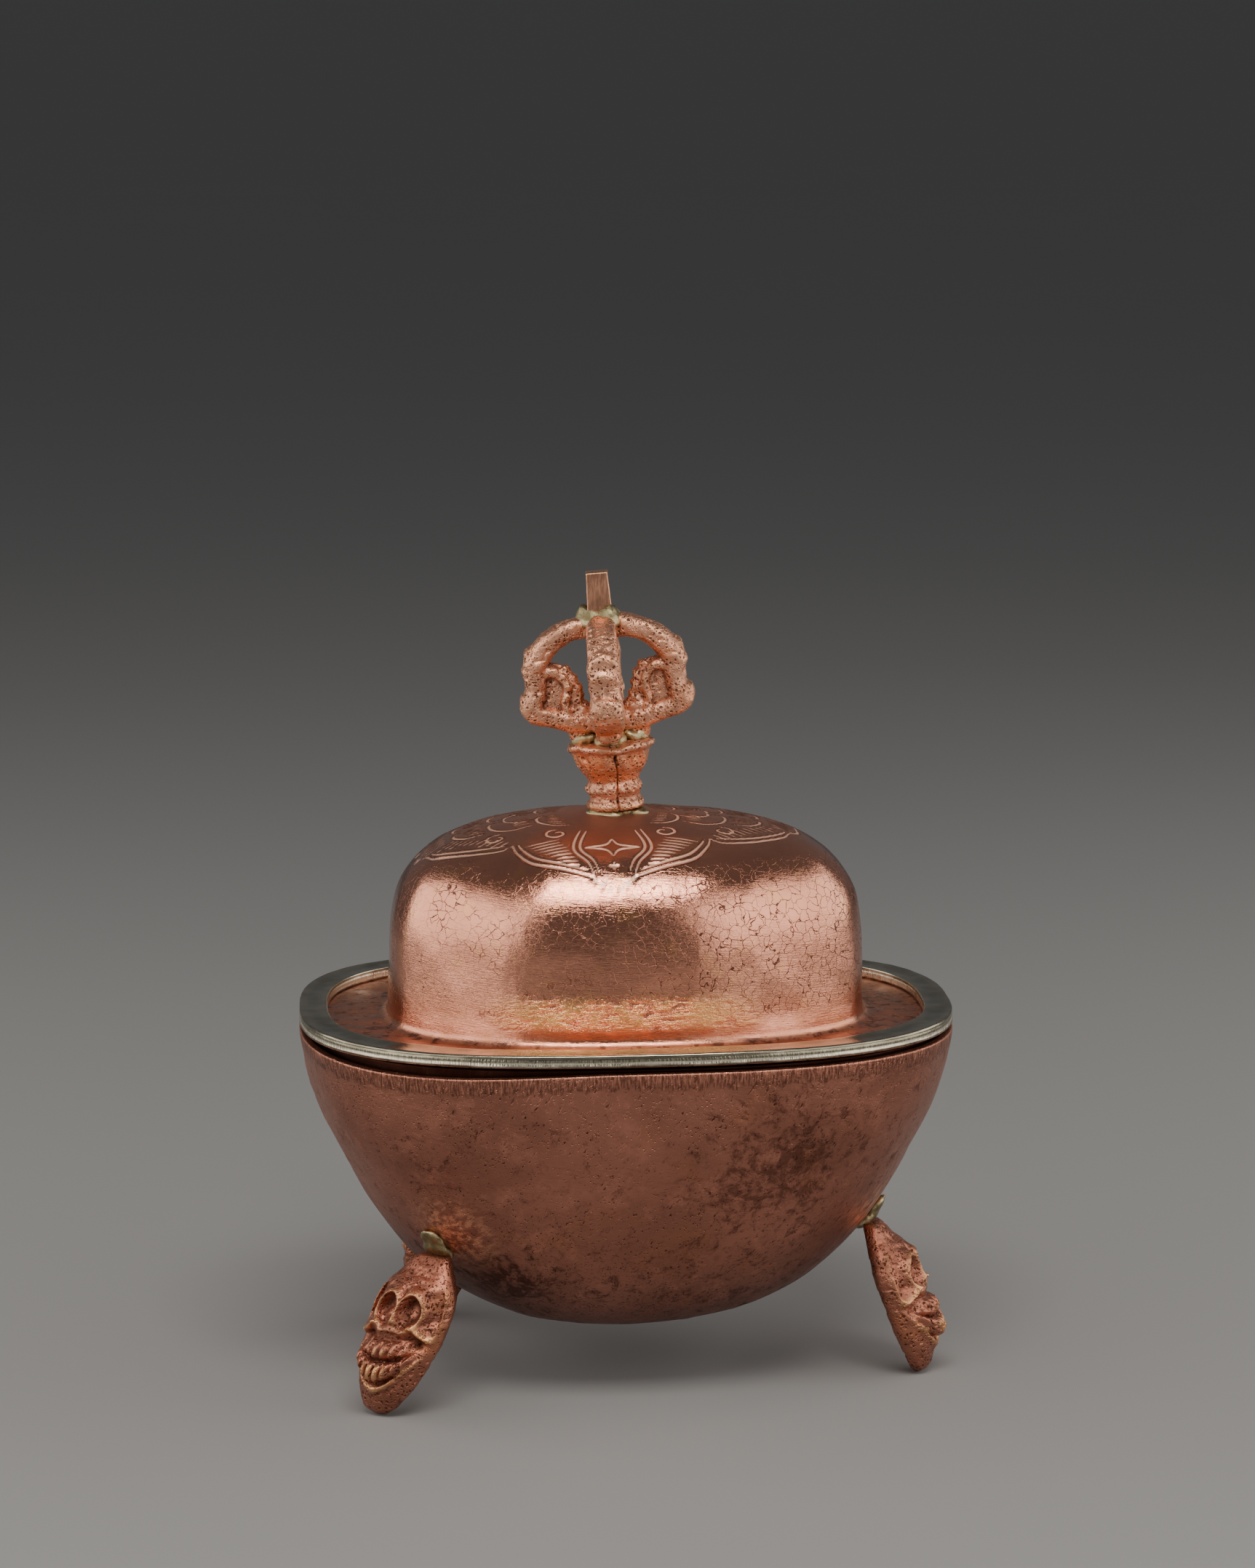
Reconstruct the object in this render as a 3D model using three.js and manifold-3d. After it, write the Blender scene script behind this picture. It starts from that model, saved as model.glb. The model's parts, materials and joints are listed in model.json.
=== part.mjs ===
// Covered offering bowl of beaten copper on three cast mask feet, with a cast thunderbolt crown on its lid.
// Millimetres, +Z up. The origin lies on the ground under the middle of the lid's rim, and +X runs along
// the bowl's long axis. The bowl's front is -Y.

import * as THREE from 'three';
import { mergeVertices } from 'three/addons/utils/BufferGeometryUtils.js';
import Module from 'manifold-3d';

const wasm = await Module();
wasm.setup();

// Clearances between pieces that seat on each other
const SEAT_GAP = 0.3;
const LID_REST_GAP = 0.15;
const COLLAR_CLEARANCE = 0.6;

// The rim's plan, shared by the bowl's mouth and the lid
const RIM_LENGTH = 92.4;
const RIM_WIDTH = 70.6;
const RIM_SQUARENESS = 2.66;
const RIM_FULLER_END_SHARE = 0.05;

// Beaten bowl
const BOWL_DEPTH = 43;
const BOWL_WALL = 1.1;
const BOWL_BOTTOM_SQUARENESS = 2.1;
const BOWL_BOTTOM_WIDTH_SHARE = 0.8;
const BOWL_FLARE_POWER = 1.25;
const BOWL_ROUND_POWER = 0.325;
const BOWL_LIP_SWELL_SHARE = 0.014;
const BOWL_LIP_START_SHARE = 0.6;
const RIM_DIP_FRONT_LEFT = 1.2;
const RIM_DIP_FRONT_LEFT_AT = 222;
const RIM_DIP_FRONT_LEFT_SPREAD = 28;
const RIM_DIP_RIGHT = 0.65;
const RIM_DIP_RIGHT_AT = 318;
const RIM_DIP_RIGHT_SPREAD = 46;

// Mask feet. Each faces square to the bowl's wall: angle is the way it faces, and offset is how far to the side
// of the bowl's middle its top stands. Lean is how far its chin stands out past its brow, and sway is how far
// the chin stands to the side of the brow.
const FOOT_HEIGHT = 22;
const FOOT_RISE_ON_BOWL = 14;
const FOOT_WIDTH = 13.4;
const FOOT_DEPTH = 7.2;
const FOOT_EDGE = 1.4;
const FEET = [
  { name: 'front_left', angle: 229, offset: -7.8, lean: 7.6, sway: -4.3 },
  { name: 'right', angle: -14.3, offset: 3.1, lean: 7.3, sway: 0.8 },
  { name: 'rear', angle: 122, offset: 7.7, lean: 5, sway: 0.5 },
];
const FOOT_SOLDER_WIDTH = 6;
const FOOT_SOLDER_RISE = 4;
const FOOT_SOLDER_THICKNESS = 2;
const FOOT_SOLDER_EDGE = 0.35;

// Lid sheet: a raised dome and its flange
const LID_SHEET = 0.75;
const FLANGE_INSET = 0.2;
const DOME_LENGTH = 67.4;
const DOME_WIDTH = 48;
const DOME_HEIGHT = 28.8;
const DOME_SQUARENESS = 2.45;
const DOME_CROWN_SQUARENESS = 2.2;
const DOME_SIDE_POWER = 5;
const DOME_SHOULDER_POWER = 0.4;
const DOME_FOOT_FILLET = 1.7;

// White metal band round the lid
const BAND_WIDTH = 4.1;
const BAND_HEIGHT = 1.7;
const BAND_ROUND = 0.7;

// Locating collar under the lid
const COLLAR_HEIGHT = 3;
const COLLAR_THICKNESS = 0.8;

// Crown finial: the socket that stands on the dome
const FINIAL_OFFSET = 1.3;
const FINIAL_LEAN = 4.6;
const FINIAL_TURN = -3.5;
const SOCKET_HEIGHT = 10;
const SOCKET_FOOT_RADIUS = 4.05;
const SOCKET_NECK_RADIUS = 3.65;
const SOCKET_RING_RADIUS = 4.2;
const SOCKET_LOTUS_RADIUS = 6.2;
const SOCKET_TOP_RADIUS = 5.5;
const SOCKET_PETALS = 8;
const SOCKET_PETAL_WAVE = 0.28;

// Crown finial: the square bar and its four prongs
const BAR_WIDTH = 4;
const BAR_CROWN_WIDTH = 3.6;
const BAR_TIP_WIDTH = 3.05;
const STUB_LENGTH = 5.9;
const CROWN_HEIGHT = 16.5;
const CROWN_RADIUS = 12.3;
const PRONG_WIDTH = 4.6;
const PRONG_THICKNESS = 2.4;
const PRONG_COUNT = 4;
const PRONG_NAMES = ['right', 'rear', 'left', 'front'];
const TONGUE_WIDTH = 3.4;
const TONGUE_THICKNESS = 2.1;
const CREST_LENGTH = 0.6;
const CREST_WIDTH = 1.5;
const WEB_THICKNESS = 1.6;

// Solder at the finial
const ROOT_SOLDER_HEIGHT = 0.55;
const ROOT_SOLDER_LENGTH = 3;
const ROOT_SOLDER_WIDTH = 4.4;
const CROWN_SOLDER_WIDTH = 0.55;
const CROWN_SOLDER_HEIGHT = 1.2;
const CROWN_SOLDER_EDGE = 0.35;
const BASE_SOLDER_WIDTH = 0.9;
const BASE_SOLDER_HEIGHT = 0.9;

// Facets: how many stations each surface has
const BOWL_SEGMENTS = 48;
const BOWL_ROWS = 12;
const LID_SEGMENTS = 48;
const DOME_ROWS = 8;
const FILLET_ROWS = 3;
const COLLAR_SEGMENTS = 36;
const FOOT_ROWS = 30;
const FOOT_COLUMNS = 16;
const FOOT_BACK_COLUMNS = 4;
const SOLDER_ROWS = 5;
const SOLDER_COLUMNS = 6;
const SOCKET_SEGMENTS = 32;
const SOCKET_ROWS = 13;
const RING_SEGMENTS = 16;
const PRONG_STATIONS = 20;
const PRONG_SIDES = 8;
const TONGUE_STATIONS = 10;
const TONGUE_SIDES = 6;
const SOLVE_STEPS = 40;
const MERGE_DISTANCE = 1e-4;

// Heights and places that follow from the sizes above
const BOWL_BOTTOM_HEIGHT = FOOT_HEIGHT - FOOT_RISE_ON_BOWL;
const BOWL_RIM_HEIGHT = BOWL_BOTTOM_HEIGHT + BOWL_DEPTH;
const LID_BASE = BOWL_RIM_HEIGHT + LID_REST_GAP;
const FLANGE_TOP = LID_BASE + LID_SHEET;
const DOME_TOP = FLANGE_TOP + DOME_HEIGHT;
const PRONG_ROOT = SOCKET_HEIGHT + SEAT_GAP + ROOT_SOLDER_HEIGHT + SEAT_GAP;
const CROWN_TOP = PRONG_ROOT + CROWN_HEIGHT;

const radians = THREE.MathUtils.degToRad;
const clampShare = (value) => Math.min(Math.max(value, 0), 1);
const mix = (from, to, share) => from + (to - from) * share;

// A smooth hill of height 1 at the centre, falling away over the given spread
function bump(value, centre, spread) {
  return Math.exp(-(((value - centre) / spread) ** 2));
}

// An oval plan: a superellipse whose width grows a little toward its fuller end, at -X
function makeOval(length, width, squareness, fullerShare) {
  return { halfLength: length / 2, halfWidth: width / 2, squareness, fullerShare };
}

function insetOval(oval, inset) {
  return { ...oval, halfLength: oval.halfLength - inset, halfWidth: oval.halfWidth - inset };
}

function scaleOval(oval, lengthShare, widthShare, squareness) {
  return {
    halfLength: oval.halfLength * lengthShare,
    halfWidth: oval.halfWidth * widthShare,
    squareness,
    fullerShare: oval.fullerShare,
  };
}

function ovalPoint(oval, angle, height) {
  const power = oval.squareness;
  const alongShare = Math.abs(Math.cos(angle)) / oval.halfLength;
  const acrossShare = Math.abs(Math.sin(angle)) / oval.halfWidth;
  const reach = (alongShare ** power + acrossShare ** power) ** (-1 / power);
  const x = reach * Math.cos(angle);
  const fuller = 1 - oval.fullerShare * (x / oval.halfLength);
  return new THREE.Vector3(x, reach * Math.sin(angle) * fuller, height);
}

function insideOval(oval, x, y) {
  const fuller = 1 - oval.fullerShare * (x / oval.halfLength);
  const along = Math.abs(x / oval.halfLength) ** oval.squareness;
  const across = Math.abs(y / (oval.halfWidth * fuller)) ** oval.squareness;
  return along + across < 1;
}

const RIM_OVAL = makeOval(RIM_LENGTH, RIM_WIDTH, RIM_SQUARENESS, RIM_FULLER_END_SHARE);
const DOME_OVAL = makeOval(DOME_LENGTH, DOME_WIDTH, DOME_SQUARENESS, RIM_FULLER_END_SHARE);

// Surfaces are lofts: a list of rings of points, where a ring of one point closes the surface to a pole
function ringOf(count, pointAt) {
  return Array.from({ length: count }, (_, index) => pointAt((index / count) * 2 * Math.PI));
}

function centreOf(ring) {
  const centre = new THREE.Vector3();
  for (const point of ring) {
    centre.add(point);
  }
  return centre.divideScalar(ring.length);
}

function faceOutwards(positions, indices) {
  const a = new THREE.Vector3();
  const b = new THREE.Vector3();
  const c = new THREE.Vector3();
  let volume = 0;
  for (let first = 0; first < indices.length; first += 3) {
    a.fromArray(positions, 3 * indices[first]);
    b.fromArray(positions, 3 * indices[first + 1]);
    c.fromArray(positions, 3 * indices[first + 2]);
    volume += a.dot(b.cross(c));
  }
  return volume < 0 ? indices.reverse() : indices;
}

// Joins each ring to the next. A looped loft joins its last ring to its first; any other is closed by its
// poles, or by a fan over an end ring that has more than one point.
function loft(rings, looped = false) {
  const stations = looped ? [...rings, rings[0]] : [...rings];
  if (!looped && stations[0].length > 1) {
    stations.unshift([centreOf(stations[0])]);
  }
  if (!looped && stations.at(-1).length > 1) {
    stations.push([centreOf(stations.at(-1))]);
  }
  const positions = [];
  const starts = [];
  for (const ring of looped ? rings : stations) {
    starts.push(positions.length / 3);
    for (const point of ring) {
      positions.push(point.x, point.y, point.z);
    }
  }
  if (looped) {
    starts.push(0);
  }
  const indices = [];
  for (let station = 0; station + 1 < stations.length; station += 1) {
    const count = Math.max(stations[station].length, stations[station + 1].length);
    const here = (index) => starts[station] + (stations[station].length > 1 ? index % count : 0);
    const next = (index) => starts[station + 1] + (stations[station + 1].length > 1 ? index % count : 0);
    for (let index = 0; index < count; index += 1) {
      if (stations[station].length > 1) {
        indices.push(here(index), here(index + 1), next(index));
      }
      if (stations[station + 1].length > 1) {
        indices.push(here(index + 1), next(index + 1), next(index));
      }
    }
  }
  const geometry = new THREE.BufferGeometry();
  geometry.setAttribute('position', new THREE.Float32BufferAttribute(positions, 3));
  geometry.setIndex(faceOutwards(positions, indices));
  return geometry;
}

function solidOf(geometry) {
  const bare = geometry.clone();
  bare.deleteAttribute('normal');
  bare.deleteAttribute('uv');
  const merged = mergeVertices(bare, MERGE_DISTANCE);
  return new wasm.Manifold(
    new wasm.Mesh({
      numProp: 3,
      vertProperties: Float32Array.from(merged.attributes.position.array),
      triVerts: Uint32Array.from(merged.index.array),
    }),
  );
}

function geometryOf(solid) {
  const mesh = solid.getMesh();
  const geometry = new THREE.BufferGeometry();
  geometry.setAttribute('position', new THREE.BufferAttribute(mesh.vertProperties, 3));
  geometry.setIndex(new THREE.BufferAttribute(mesh.triVerts, 1));
  return geometry;
}

// Finishes, as the photographed metal looks
function finish(colour, roughness) {
  return new THREE.MeshStandardMaterial({ color: colour, roughness, metalness: 1 });
}

const BOWL_COPPER = [0x9a6552, 0.5];
const LID_COPPER = [0xb87a63, 0.28];
const CAST_COPPER = [0xb47860, 0.45];
const WHITE_METAL = [0xb9b49b, 0.35];
const BRASS_SOLDER = [0xb5a877, 0.5];

function addPiece(parent, name, geometry, [colour, roughness]) {
  const mesh = new THREE.Mesh(geometry, finish(colour, roughness));
  mesh.name = name;
  parent.add(mesh);
  return mesh;
}

// The bowl's outer wall at a share of its depth: flat under the belly, rounding up, with a faint lip
function bowlOval(riseShare) {
  const rise = clampShare(riseShare);
  const rounded = (1 - (1 - rise) ** BOWL_FLARE_POWER) ** BOWL_ROUND_POWER;
  const lipShare = clampShare((rise - BOWL_LIP_START_SHARE) / (1 - BOWL_LIP_START_SHARE));
  const swell = rounded + BOWL_LIP_SWELL_SHARE * Math.sin(Math.PI * lipShare);
  const widthShare = mix(BOWL_BOTTOM_WIDTH_SHARE * (RIM_LENGTH / RIM_WIDTH), 1, rise);
  return scaleOval(RIM_OVAL, swell, swell * widthShare, mix(BOWL_BOTTOM_SQUARENESS, RIM_SQUARENESS, rise));
}

function bowlOvalAtHeight(height) {
  return bowlOval((height - BOWL_BOTTOM_HEIGHT) / BOWL_DEPTH);
}

// How far out from the bowl's axis its wall lies along a foot's direction, at a height and a sideways place
function bowlReach(direction, sideways, height) {
  const oval = bowlOvalAtHeight(height);
  let inner = 0;
  let outer = RIM_LENGTH;
  for (let step = 0; step < SOLVE_STEPS; step += 1) {
    const middle = (inner + outer) / 2;
    const x = direction.x * middle - direction.y * sideways;
    const y = direction.y * middle + direction.x * sideways;
    if (insideOval(oval, x, y)) {
      inner = middle;
    } else {
      outer = middle;
    }
  }
  return outer;
}

// The beaten rim isn't level: it dips at the front left and again toward the right
function rimDip(angle) {
  const degrees = THREE.MathUtils.euclideanModulo(THREE.MathUtils.radToDeg(angle), 360);
  const frontLeft = RIM_DIP_FRONT_LEFT * bump(degrees, RIM_DIP_FRONT_LEFT_AT, RIM_DIP_FRONT_LEFT_SPREAD);
  return frontLeft + RIM_DIP_RIGHT * bump(degrees, RIM_DIP_RIGHT_AT, RIM_DIP_RIGHT_SPREAD);
}

function bowlShell() {
  const riseOf = (row) => (row / BOWL_ROWS) ** 2.5;
  const outerRing = (row) => ringOf(BOWL_SEGMENTS, (angle) => {
    const height = BOWL_BOTTOM_HEIGHT + riseOf(row) * (BOWL_DEPTH - rimDip(angle));
    return ovalPoint(bowlOval(riseOf(row)), angle, height);
  });
  const innerRing = (row) => ringOf(BOWL_SEGMENTS, (angle) => {
    const height = BOWL_BOTTOM_HEIGHT + BOWL_WALL + riseOf(row) * (BOWL_DEPTH - BOWL_WALL - rimDip(angle));
    return ovalPoint(insetOval(bowlOval(riseOf(row)), BOWL_WALL), angle, height);
  });
  const rings = [[new THREE.Vector3(0, 0, BOWL_BOTTOM_HEIGHT)]];
  for (let row = 1; row <= BOWL_ROWS; row += 1) {
    rings.push(outerRing(row));
  }
  for (let row = BOWL_ROWS; row > 0; row -= 1) {
    rings.push(innerRing(row));
  }
  rings.push([new THREE.Vector3(0, 0, BOWL_BOTTOM_HEIGHT + BOWL_WALL)]);
  return loft(rings);
}

// The mask's outline and depth over its height, from the chin at 0 to the top of the brow at 1
const MASK_WIDTH_SHARES = [0.24, 0.5, 0.7, 0.84, 0.93, 0.98, 1, 0.99, 0.93, 0.76, 0.44];
const MASK_DEPTH_SHARES = [0.17, 0.42, 0.6, 0.7, 0.76, 0.79, 0.8, 0.79, 0.78, 0.6, 0.24];

function curveValue(shares, place) {
  const spot = clampShare(place) * (shares.length - 1);
  const index = Math.min(Math.floor(spot), shares.length - 2);
  const last = shares.length - 1;
  const before = shares[Math.max(index - 1, 0)];
  const after = shares[Math.min(index + 2, last)];
  const t = spot - index;
  const from = shares[index];
  const to = shares[index + 1];
  const bend = (2 * before - 5 * from + 4 * to - after) * t * t + (3 * from - before - 3 * to + after) * t ** 3;
  return from + ((to - before) * t + bend) / 2;
}

// Carved features of the mask. Lift is how far a feature stands out, as a share of the mask's depth. Bands run
// across the mask at a rise and curl up toward its sides; spots sit at a place to each side of its middle.
const MASK_BAND_SHARES = [
  { name: 'upper teeth', lift: 0.2, rise: 0.525, spread: 0.05, curl: 0.085, toothed: true },
  { name: 'lower teeth', lift: 0.2, rise: 0.37, spread: 0.055, curl: 0.153, toothed: true },
  { name: 'bite', lift: -0.12, rise: 0.447, spread: 0.03, curl: 0.136, toothed: false },
  { name: 'gum line', lift: -0.13, rise: 0.285, spread: 0.035, curl: 0.221, toothed: false },
  { name: 'lower lip', lift: 0.08, rise: 0.215, spread: 0.04, curl: 0.289, toothed: false },
];
const MASK_SPOT_SHARES = [
  { name: 'nose', lift: 0.15, side: 0, reach: 0.18, rise: 0.63, spread: 0.055 },
  { name: 'brow notch', lift: -0.1, side: 0, reach: 0.14, rise: 0.84, spread: 0.05 },
  { name: 'cheekbone', lift: 0.1, side: 0.8, reach: 0.16, rise: 0.61, spread: 0.04 },
  { name: 'mouth corner', lift: -0.2, side: 0.72, reach: 0.14, rise: 0.53, spread: 0.06 },
  { name: 'temple', lift: -0.08, side: 0.9, reach: 0.1, rise: 0.74, spread: 0.1 },
];
const MASK_EYE_SHARES = { side: 0.43, rise: 0.715, halfWidth: 0.32, halfHeight: 0.1, depth: 0.4, brow: 0.13 };
const MOUTH_HALF_WIDTH_SHARE = 0.72;
const TOOTH_GAP_SHARE = 0.3;
const TEETH_PER_SIDE = 4;

// How far the carving stands out at a place: across runs from -1 to 1, rise from 0 to 1
function maskCarving(across, rise) {
  const side = Math.abs(across);
  const inMouth = 1 / (1 + (side / MOUTH_HALF_WIDTH_SHARE) ** 8);
  const tooth = 1 - TOOTH_GAP_SHARE * Math.cos(Math.PI * TEETH_PER_SIDE * (across + 1)) ** 2;
  let carved = 0;
  for (const band of MASK_BAND_SHARES) {
    const height = bump(rise, band.rise + band.curl * side ** 2, band.spread);
    carved += band.lift * height * (band.toothed ? inMouth * tooth : 1);
  }
  for (const spot of MASK_SPOT_SHARES) {
    carved += spot.lift * bump(side, spot.side, spot.reach) * bump(rise, spot.rise, spot.spread);
  }
  const eye = MASK_EYE_SHARES;
  const fromEye = Math.hypot((side - eye.side) / eye.halfWidth, (rise - eye.rise) / eye.halfHeight);
  const browFade = clampShare((rise - eye.rise) / eye.halfHeight + 1);
  return carved - eye.depth / (1 + fromEye ** 4) + eye.brow * bump(fromEye, 1.3, 0.3) * browFade;
}

// The mask bulges forward from its edges, and its carving fades out toward the chin, the crown and the edges
function maskDepth(across, rise) {
  const crown = FOOT_DEPTH * curveValue(MASK_DEPTH_SHARES, rise);
  const edge = Math.min(FOOT_EDGE, crown);
  const bulge = (1 - Math.abs(across) ** 2.6) ** 0.55;
  const endFade = clampShare(rise * 5) * clampShare((1 - rise) * 7);
  return mix(edge, crown, bulge) + FOOT_DEPTH * maskCarving(across, rise) * endFade * Math.sqrt(bulge);
}

// A mask foot: its back is a flat plate that leans out to the chin and seats on the bowl at its top, and its
// underside is cut level to stand on
function maskFoot(foot) {
  const direction = new THREE.Vector2(Math.cos(radians(foot.angle)), Math.sin(radians(foot.angle)));
  const halfTop = (FOOT_WIDTH / 2) * MASK_WIDTH_SHARES.at(-1);
  const seats = [-halfTop, 0, halfTop].map((side) => bowlReach(direction, foot.offset + side, FOOT_HEIGHT));
  const backTop = Math.max(...seats) + SEAT_GAP;
  const rings = [];
  for (let row = 0; row <= FOOT_ROWS; row += 1) {
    const rise = row / FOOT_ROWS;
    const height = rise * FOOT_HEIGHT;
    const halfWidth = (FOOT_WIDTH / 2) * curveValue(MASK_WIDTH_SHARES, rise);
    const back = backTop + foot.lean * (1 - rise) ** 1.15;
    const middle = foot.offset + foot.sway * (1 - rise);
    const ring = [];
    const addPoint = (across, out) => {
      const sideways = middle + across * halfWidth;
      const reach = back + out;
      const x = direction.x * reach - direction.y * sideways;
      ring.push(new THREE.Vector3(x, direction.y * reach + direction.x * sideways, height));
    };
    for (let column = 0; column <= FOOT_COLUMNS; column += 1) {
      const across = mix(-1, 1, column / FOOT_COLUMNS);
      addPoint(across, maskDepth(across, rise));
    }
    for (let column = 0; column <= FOOT_BACK_COLUMNS; column += 1) {
      addPoint(mix(1, -1, column / FOOT_BACK_COLUMNS), 0);
    }
    rings.push(ring);
  }
  return loft(rings);
}

// A fillet of solder that stands on a foot's top and runs up the bowl's wall behind it
function footSolder(foot) {
  const direction = new THREE.Vector2(Math.cos(radians(foot.angle)), Math.sin(radians(foot.angle)));
  const base = FOOT_HEIGHT + SEAT_GAP;
  const rings = [];
  for (let row = 0; row <= SOLDER_ROWS; row += 1) {
    const rise = row / SOLDER_ROWS;
    const height = base + rise * FOOT_SOLDER_RISE;
    const halfWidth = (FOOT_SOLDER_WIDTH / 2) * Math.sqrt(1 - ((rise - 0.25) / 0.85) ** 2);
    const inner = [];
    const outer = [];
    for (let column = 0; column <= SOLDER_COLUMNS; column += 1) {
      const across = mix(-1, 1, column / SOLDER_COLUMNS);
      const sideways = foot.offset + across * halfWidth;
      const seat = bowlReach(direction, sideways, height) + SEAT_GAP;
      const swell = (1 - rise) ** 1.6 * (1 - across ** 2);
      const thickness = mix(FOOT_SOLDER_EDGE, FOOT_SOLDER_THICKNESS, swell);
      for (const [list, reach] of [[inner, seat], [outer, seat + thickness]]) {
        const x = direction.x * reach - direction.y * sideways;
        list.push(new THREE.Vector3(x, direction.y * reach + direction.x * sideways, height));
      }
    }
    rings.push([...outer, ...inner.reverse()]);
  }
  return loft(rings);
}

// The dome's plan at a share of its depth under the crown, and the sheet's surfaces from crown to flange
function domeOval(depthShare) {
  const spread = (1 - (1 - clampShare(depthShare)) ** DOME_SIDE_POWER) ** DOME_SHOULDER_POWER;
  return scaleOval(DOME_OVAL, spread, spread, mix(DOME_CROWN_SQUARENESS, DOME_SQUARENESS, depthShare));
}

function lidSurface(inset, top, floor, edgeOval) {
  const filletStart = floor + DOME_FOOT_FILLET;
  const rings = [[new THREE.Vector3(0, 0, top)]];
  for (let row = 1; row <= DOME_ROWS; row += 1) {
    const depthShare = (row / DOME_ROWS) ** 2.4;
    const height = mix(top, filletStart, depthShare);
    const oval = insetOval(domeOval(depthShare), inset * spreadOf(depthShare));
    rings.push(ringOf(LID_SEGMENTS, (angle) => ovalPoint(oval, angle, height)));
  }
  const wall = insetOval(DOME_OVAL, inset);
  for (let row = 1; row <= FILLET_ROWS; row += 1) {
    const turn = (row / FILLET_ROWS) * (Math.PI / 2);
    const oval = insetOval(wall, -DOME_FOOT_FILLET * (1 - Math.cos(turn)));
    const height = filletStart - DOME_FOOT_FILLET * Math.sin(turn);
    rings.push(ringOf(LID_SEGMENTS, (angle) => ovalPoint(oval, angle, height)));
  }
  rings.push(ringOf(LID_SEGMENTS, (angle) => ovalPoint(edgeOval, angle, floor)));
  return rings;
}

// The sheet's thickness is measured level at the wall and upright at the crown
function spreadOf(depthShare) {
  return clampShare(domeOval(depthShare).halfLength / DOME_OVAL.halfLength);
}

function lidDome() {
  const edge = insetOval(RIM_OVAL, FLANGE_INSET);
  const outer = lidSurface(0, DOME_TOP, FLANGE_TOP, edge);
  const inner = lidSurface(LID_SHEET, DOME_TOP - LID_SHEET, LID_BASE, edge);
  return loft([...outer, ...inner.reverse()]);
}

// The band's section: square foot on the flange, rounded outer shoulder, and a small chamfer inside
function lidRimBand() {
  const section = [[0, 0], [0, BAND_HEIGHT - BAND_ROUND]];
  for (const turn of [30, 60, 90]) {
    const run = BAND_ROUND * (1 - Math.cos(radians(turn)));
    section.push([run, BAND_HEIGHT - BAND_ROUND * (1 - Math.sin(radians(turn)))]);
  }
  const chamfer = BAND_ROUND / 3;
  section.push([BAND_WIDTH - chamfer, BAND_HEIGHT], [BAND_WIDTH, BAND_HEIGHT - chamfer], [BAND_WIDTH, 0]);
  const rings = section.map(([inset, rise]) => {
    const oval = insetOval(RIM_OVAL, inset);
    return ringOf(LID_SEGMENTS, (angle) => ovalPoint(oval, angle, FLANGE_TOP + rise));
  });
  return loft(rings, true);
}

// A strip soldered on edge under the flange, which drops inside the bowl's mouth
function lidCollar() {
  const mouth = insetOval(bowlOvalAtHeight(LID_BASE - COLLAR_HEIGHT), BOWL_WALL + COLLAR_CLEARANCE);
  const top = LID_BASE;
  const bottom = LID_BASE - COLLAR_HEIGHT;
  const section = [[0, bottom], [COLLAR_THICKNESS, bottom], [COLLAR_THICKNESS, top], [0, top]];
  const rings = section.map(([inset, height]) => {
    const oval = insetOval(mouth, inset);
    return ringOf(COLLAR_SEGMENTS, (angle) => ovalPoint(oval, angle, height));
  });
  return loft(rings, true);
}

// The socket's outline from its foot to its top: each step runs from one radius toward another by an out
// share, at a share of the socket's height
const SOCKET_STEPS = [
  { from: SOCKET_FOOT_RADIUS, to: SOCKET_FOOT_RADIUS, outShare: 0, riseShare: 0 },
  { from: SOCKET_FOOT_RADIUS, to: SOCKET_RING_RADIUS, outShare: 0.9, riseShare: 0.07 },
  { from: SOCKET_FOOT_RADIUS, to: SOCKET_FOOT_RADIUS, outShare: 0, riseShare: 0.13 },
  { from: SOCKET_NECK_RADIUS, to: SOCKET_RING_RADIUS, outShare: 0, riseShare: 0.17 },
  { from: SOCKET_NECK_RADIUS, to: SOCKET_RING_RADIUS, outShare: 1, riseShare: 0.25 },
  { from: SOCKET_NECK_RADIUS, to: SOCKET_RING_RADIUS, outShare: 1, riseShare: 0.31 },
  { from: SOCKET_NECK_RADIUS, to: SOCKET_LOTUS_RADIUS, outShare: 0, riseShare: 0.38 },
  { from: SOCKET_NECK_RADIUS, to: SOCKET_LOTUS_RADIUS, outShare: 0.2, riseShare: 0.48 },
  { from: SOCKET_NECK_RADIUS, to: SOCKET_LOTUS_RADIUS, outShare: 0.55, riseShare: 0.62 },
  { from: SOCKET_NECK_RADIUS, to: SOCKET_LOTUS_RADIUS, outShare: 0.86, riseShare: 0.75 },
  { from: SOCKET_NECK_RADIUS, to: SOCKET_LOTUS_RADIUS, outShare: 1, riseShare: 0.84 },
  { from: SOCKET_TOP_RADIUS, to: SOCKET_LOTUS_RADIUS, outShare: 0.5, riseShare: 0.93 },
  { from: SOCKET_TOP_RADIUS, to: SOCKET_LOTUS_RADIUS, outShare: 0, riseShare: 1 },
];
const PETAL_RISE_SHARE = 0.82;
const PETAL_SPREAD_SHARE = 0.13;

// The socket: a turned foot ring and neck ring under a lotus cup with a petalled edge
function finialSocket() {
  const profile = new THREE.SplineCurve(SOCKET_STEPS.map(({ from, to, outShare, riseShare }) => (
    new THREE.Vector2(mix(from, to, outShare), riseShare * SOCKET_HEIGHT)
  )));
  const rings = profile.getPoints(SOCKET_ROWS).map(({ x: radius, y: height }) => {
    const petal = bump(height / SOCKET_HEIGHT, PETAL_RISE_SHARE, PETAL_SPREAD_SHARE);
    return ringOf(SOCKET_SEGMENTS, (angle) => {
      const reach = radius + SOCKET_PETAL_WAVE * petal * Math.cos(SOCKET_PETALS * angle);
      return new THREE.Vector3(reach * Math.cos(angle), reach * Math.sin(angle), height);
    });
  });
  return loft(rings);
}

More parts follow.
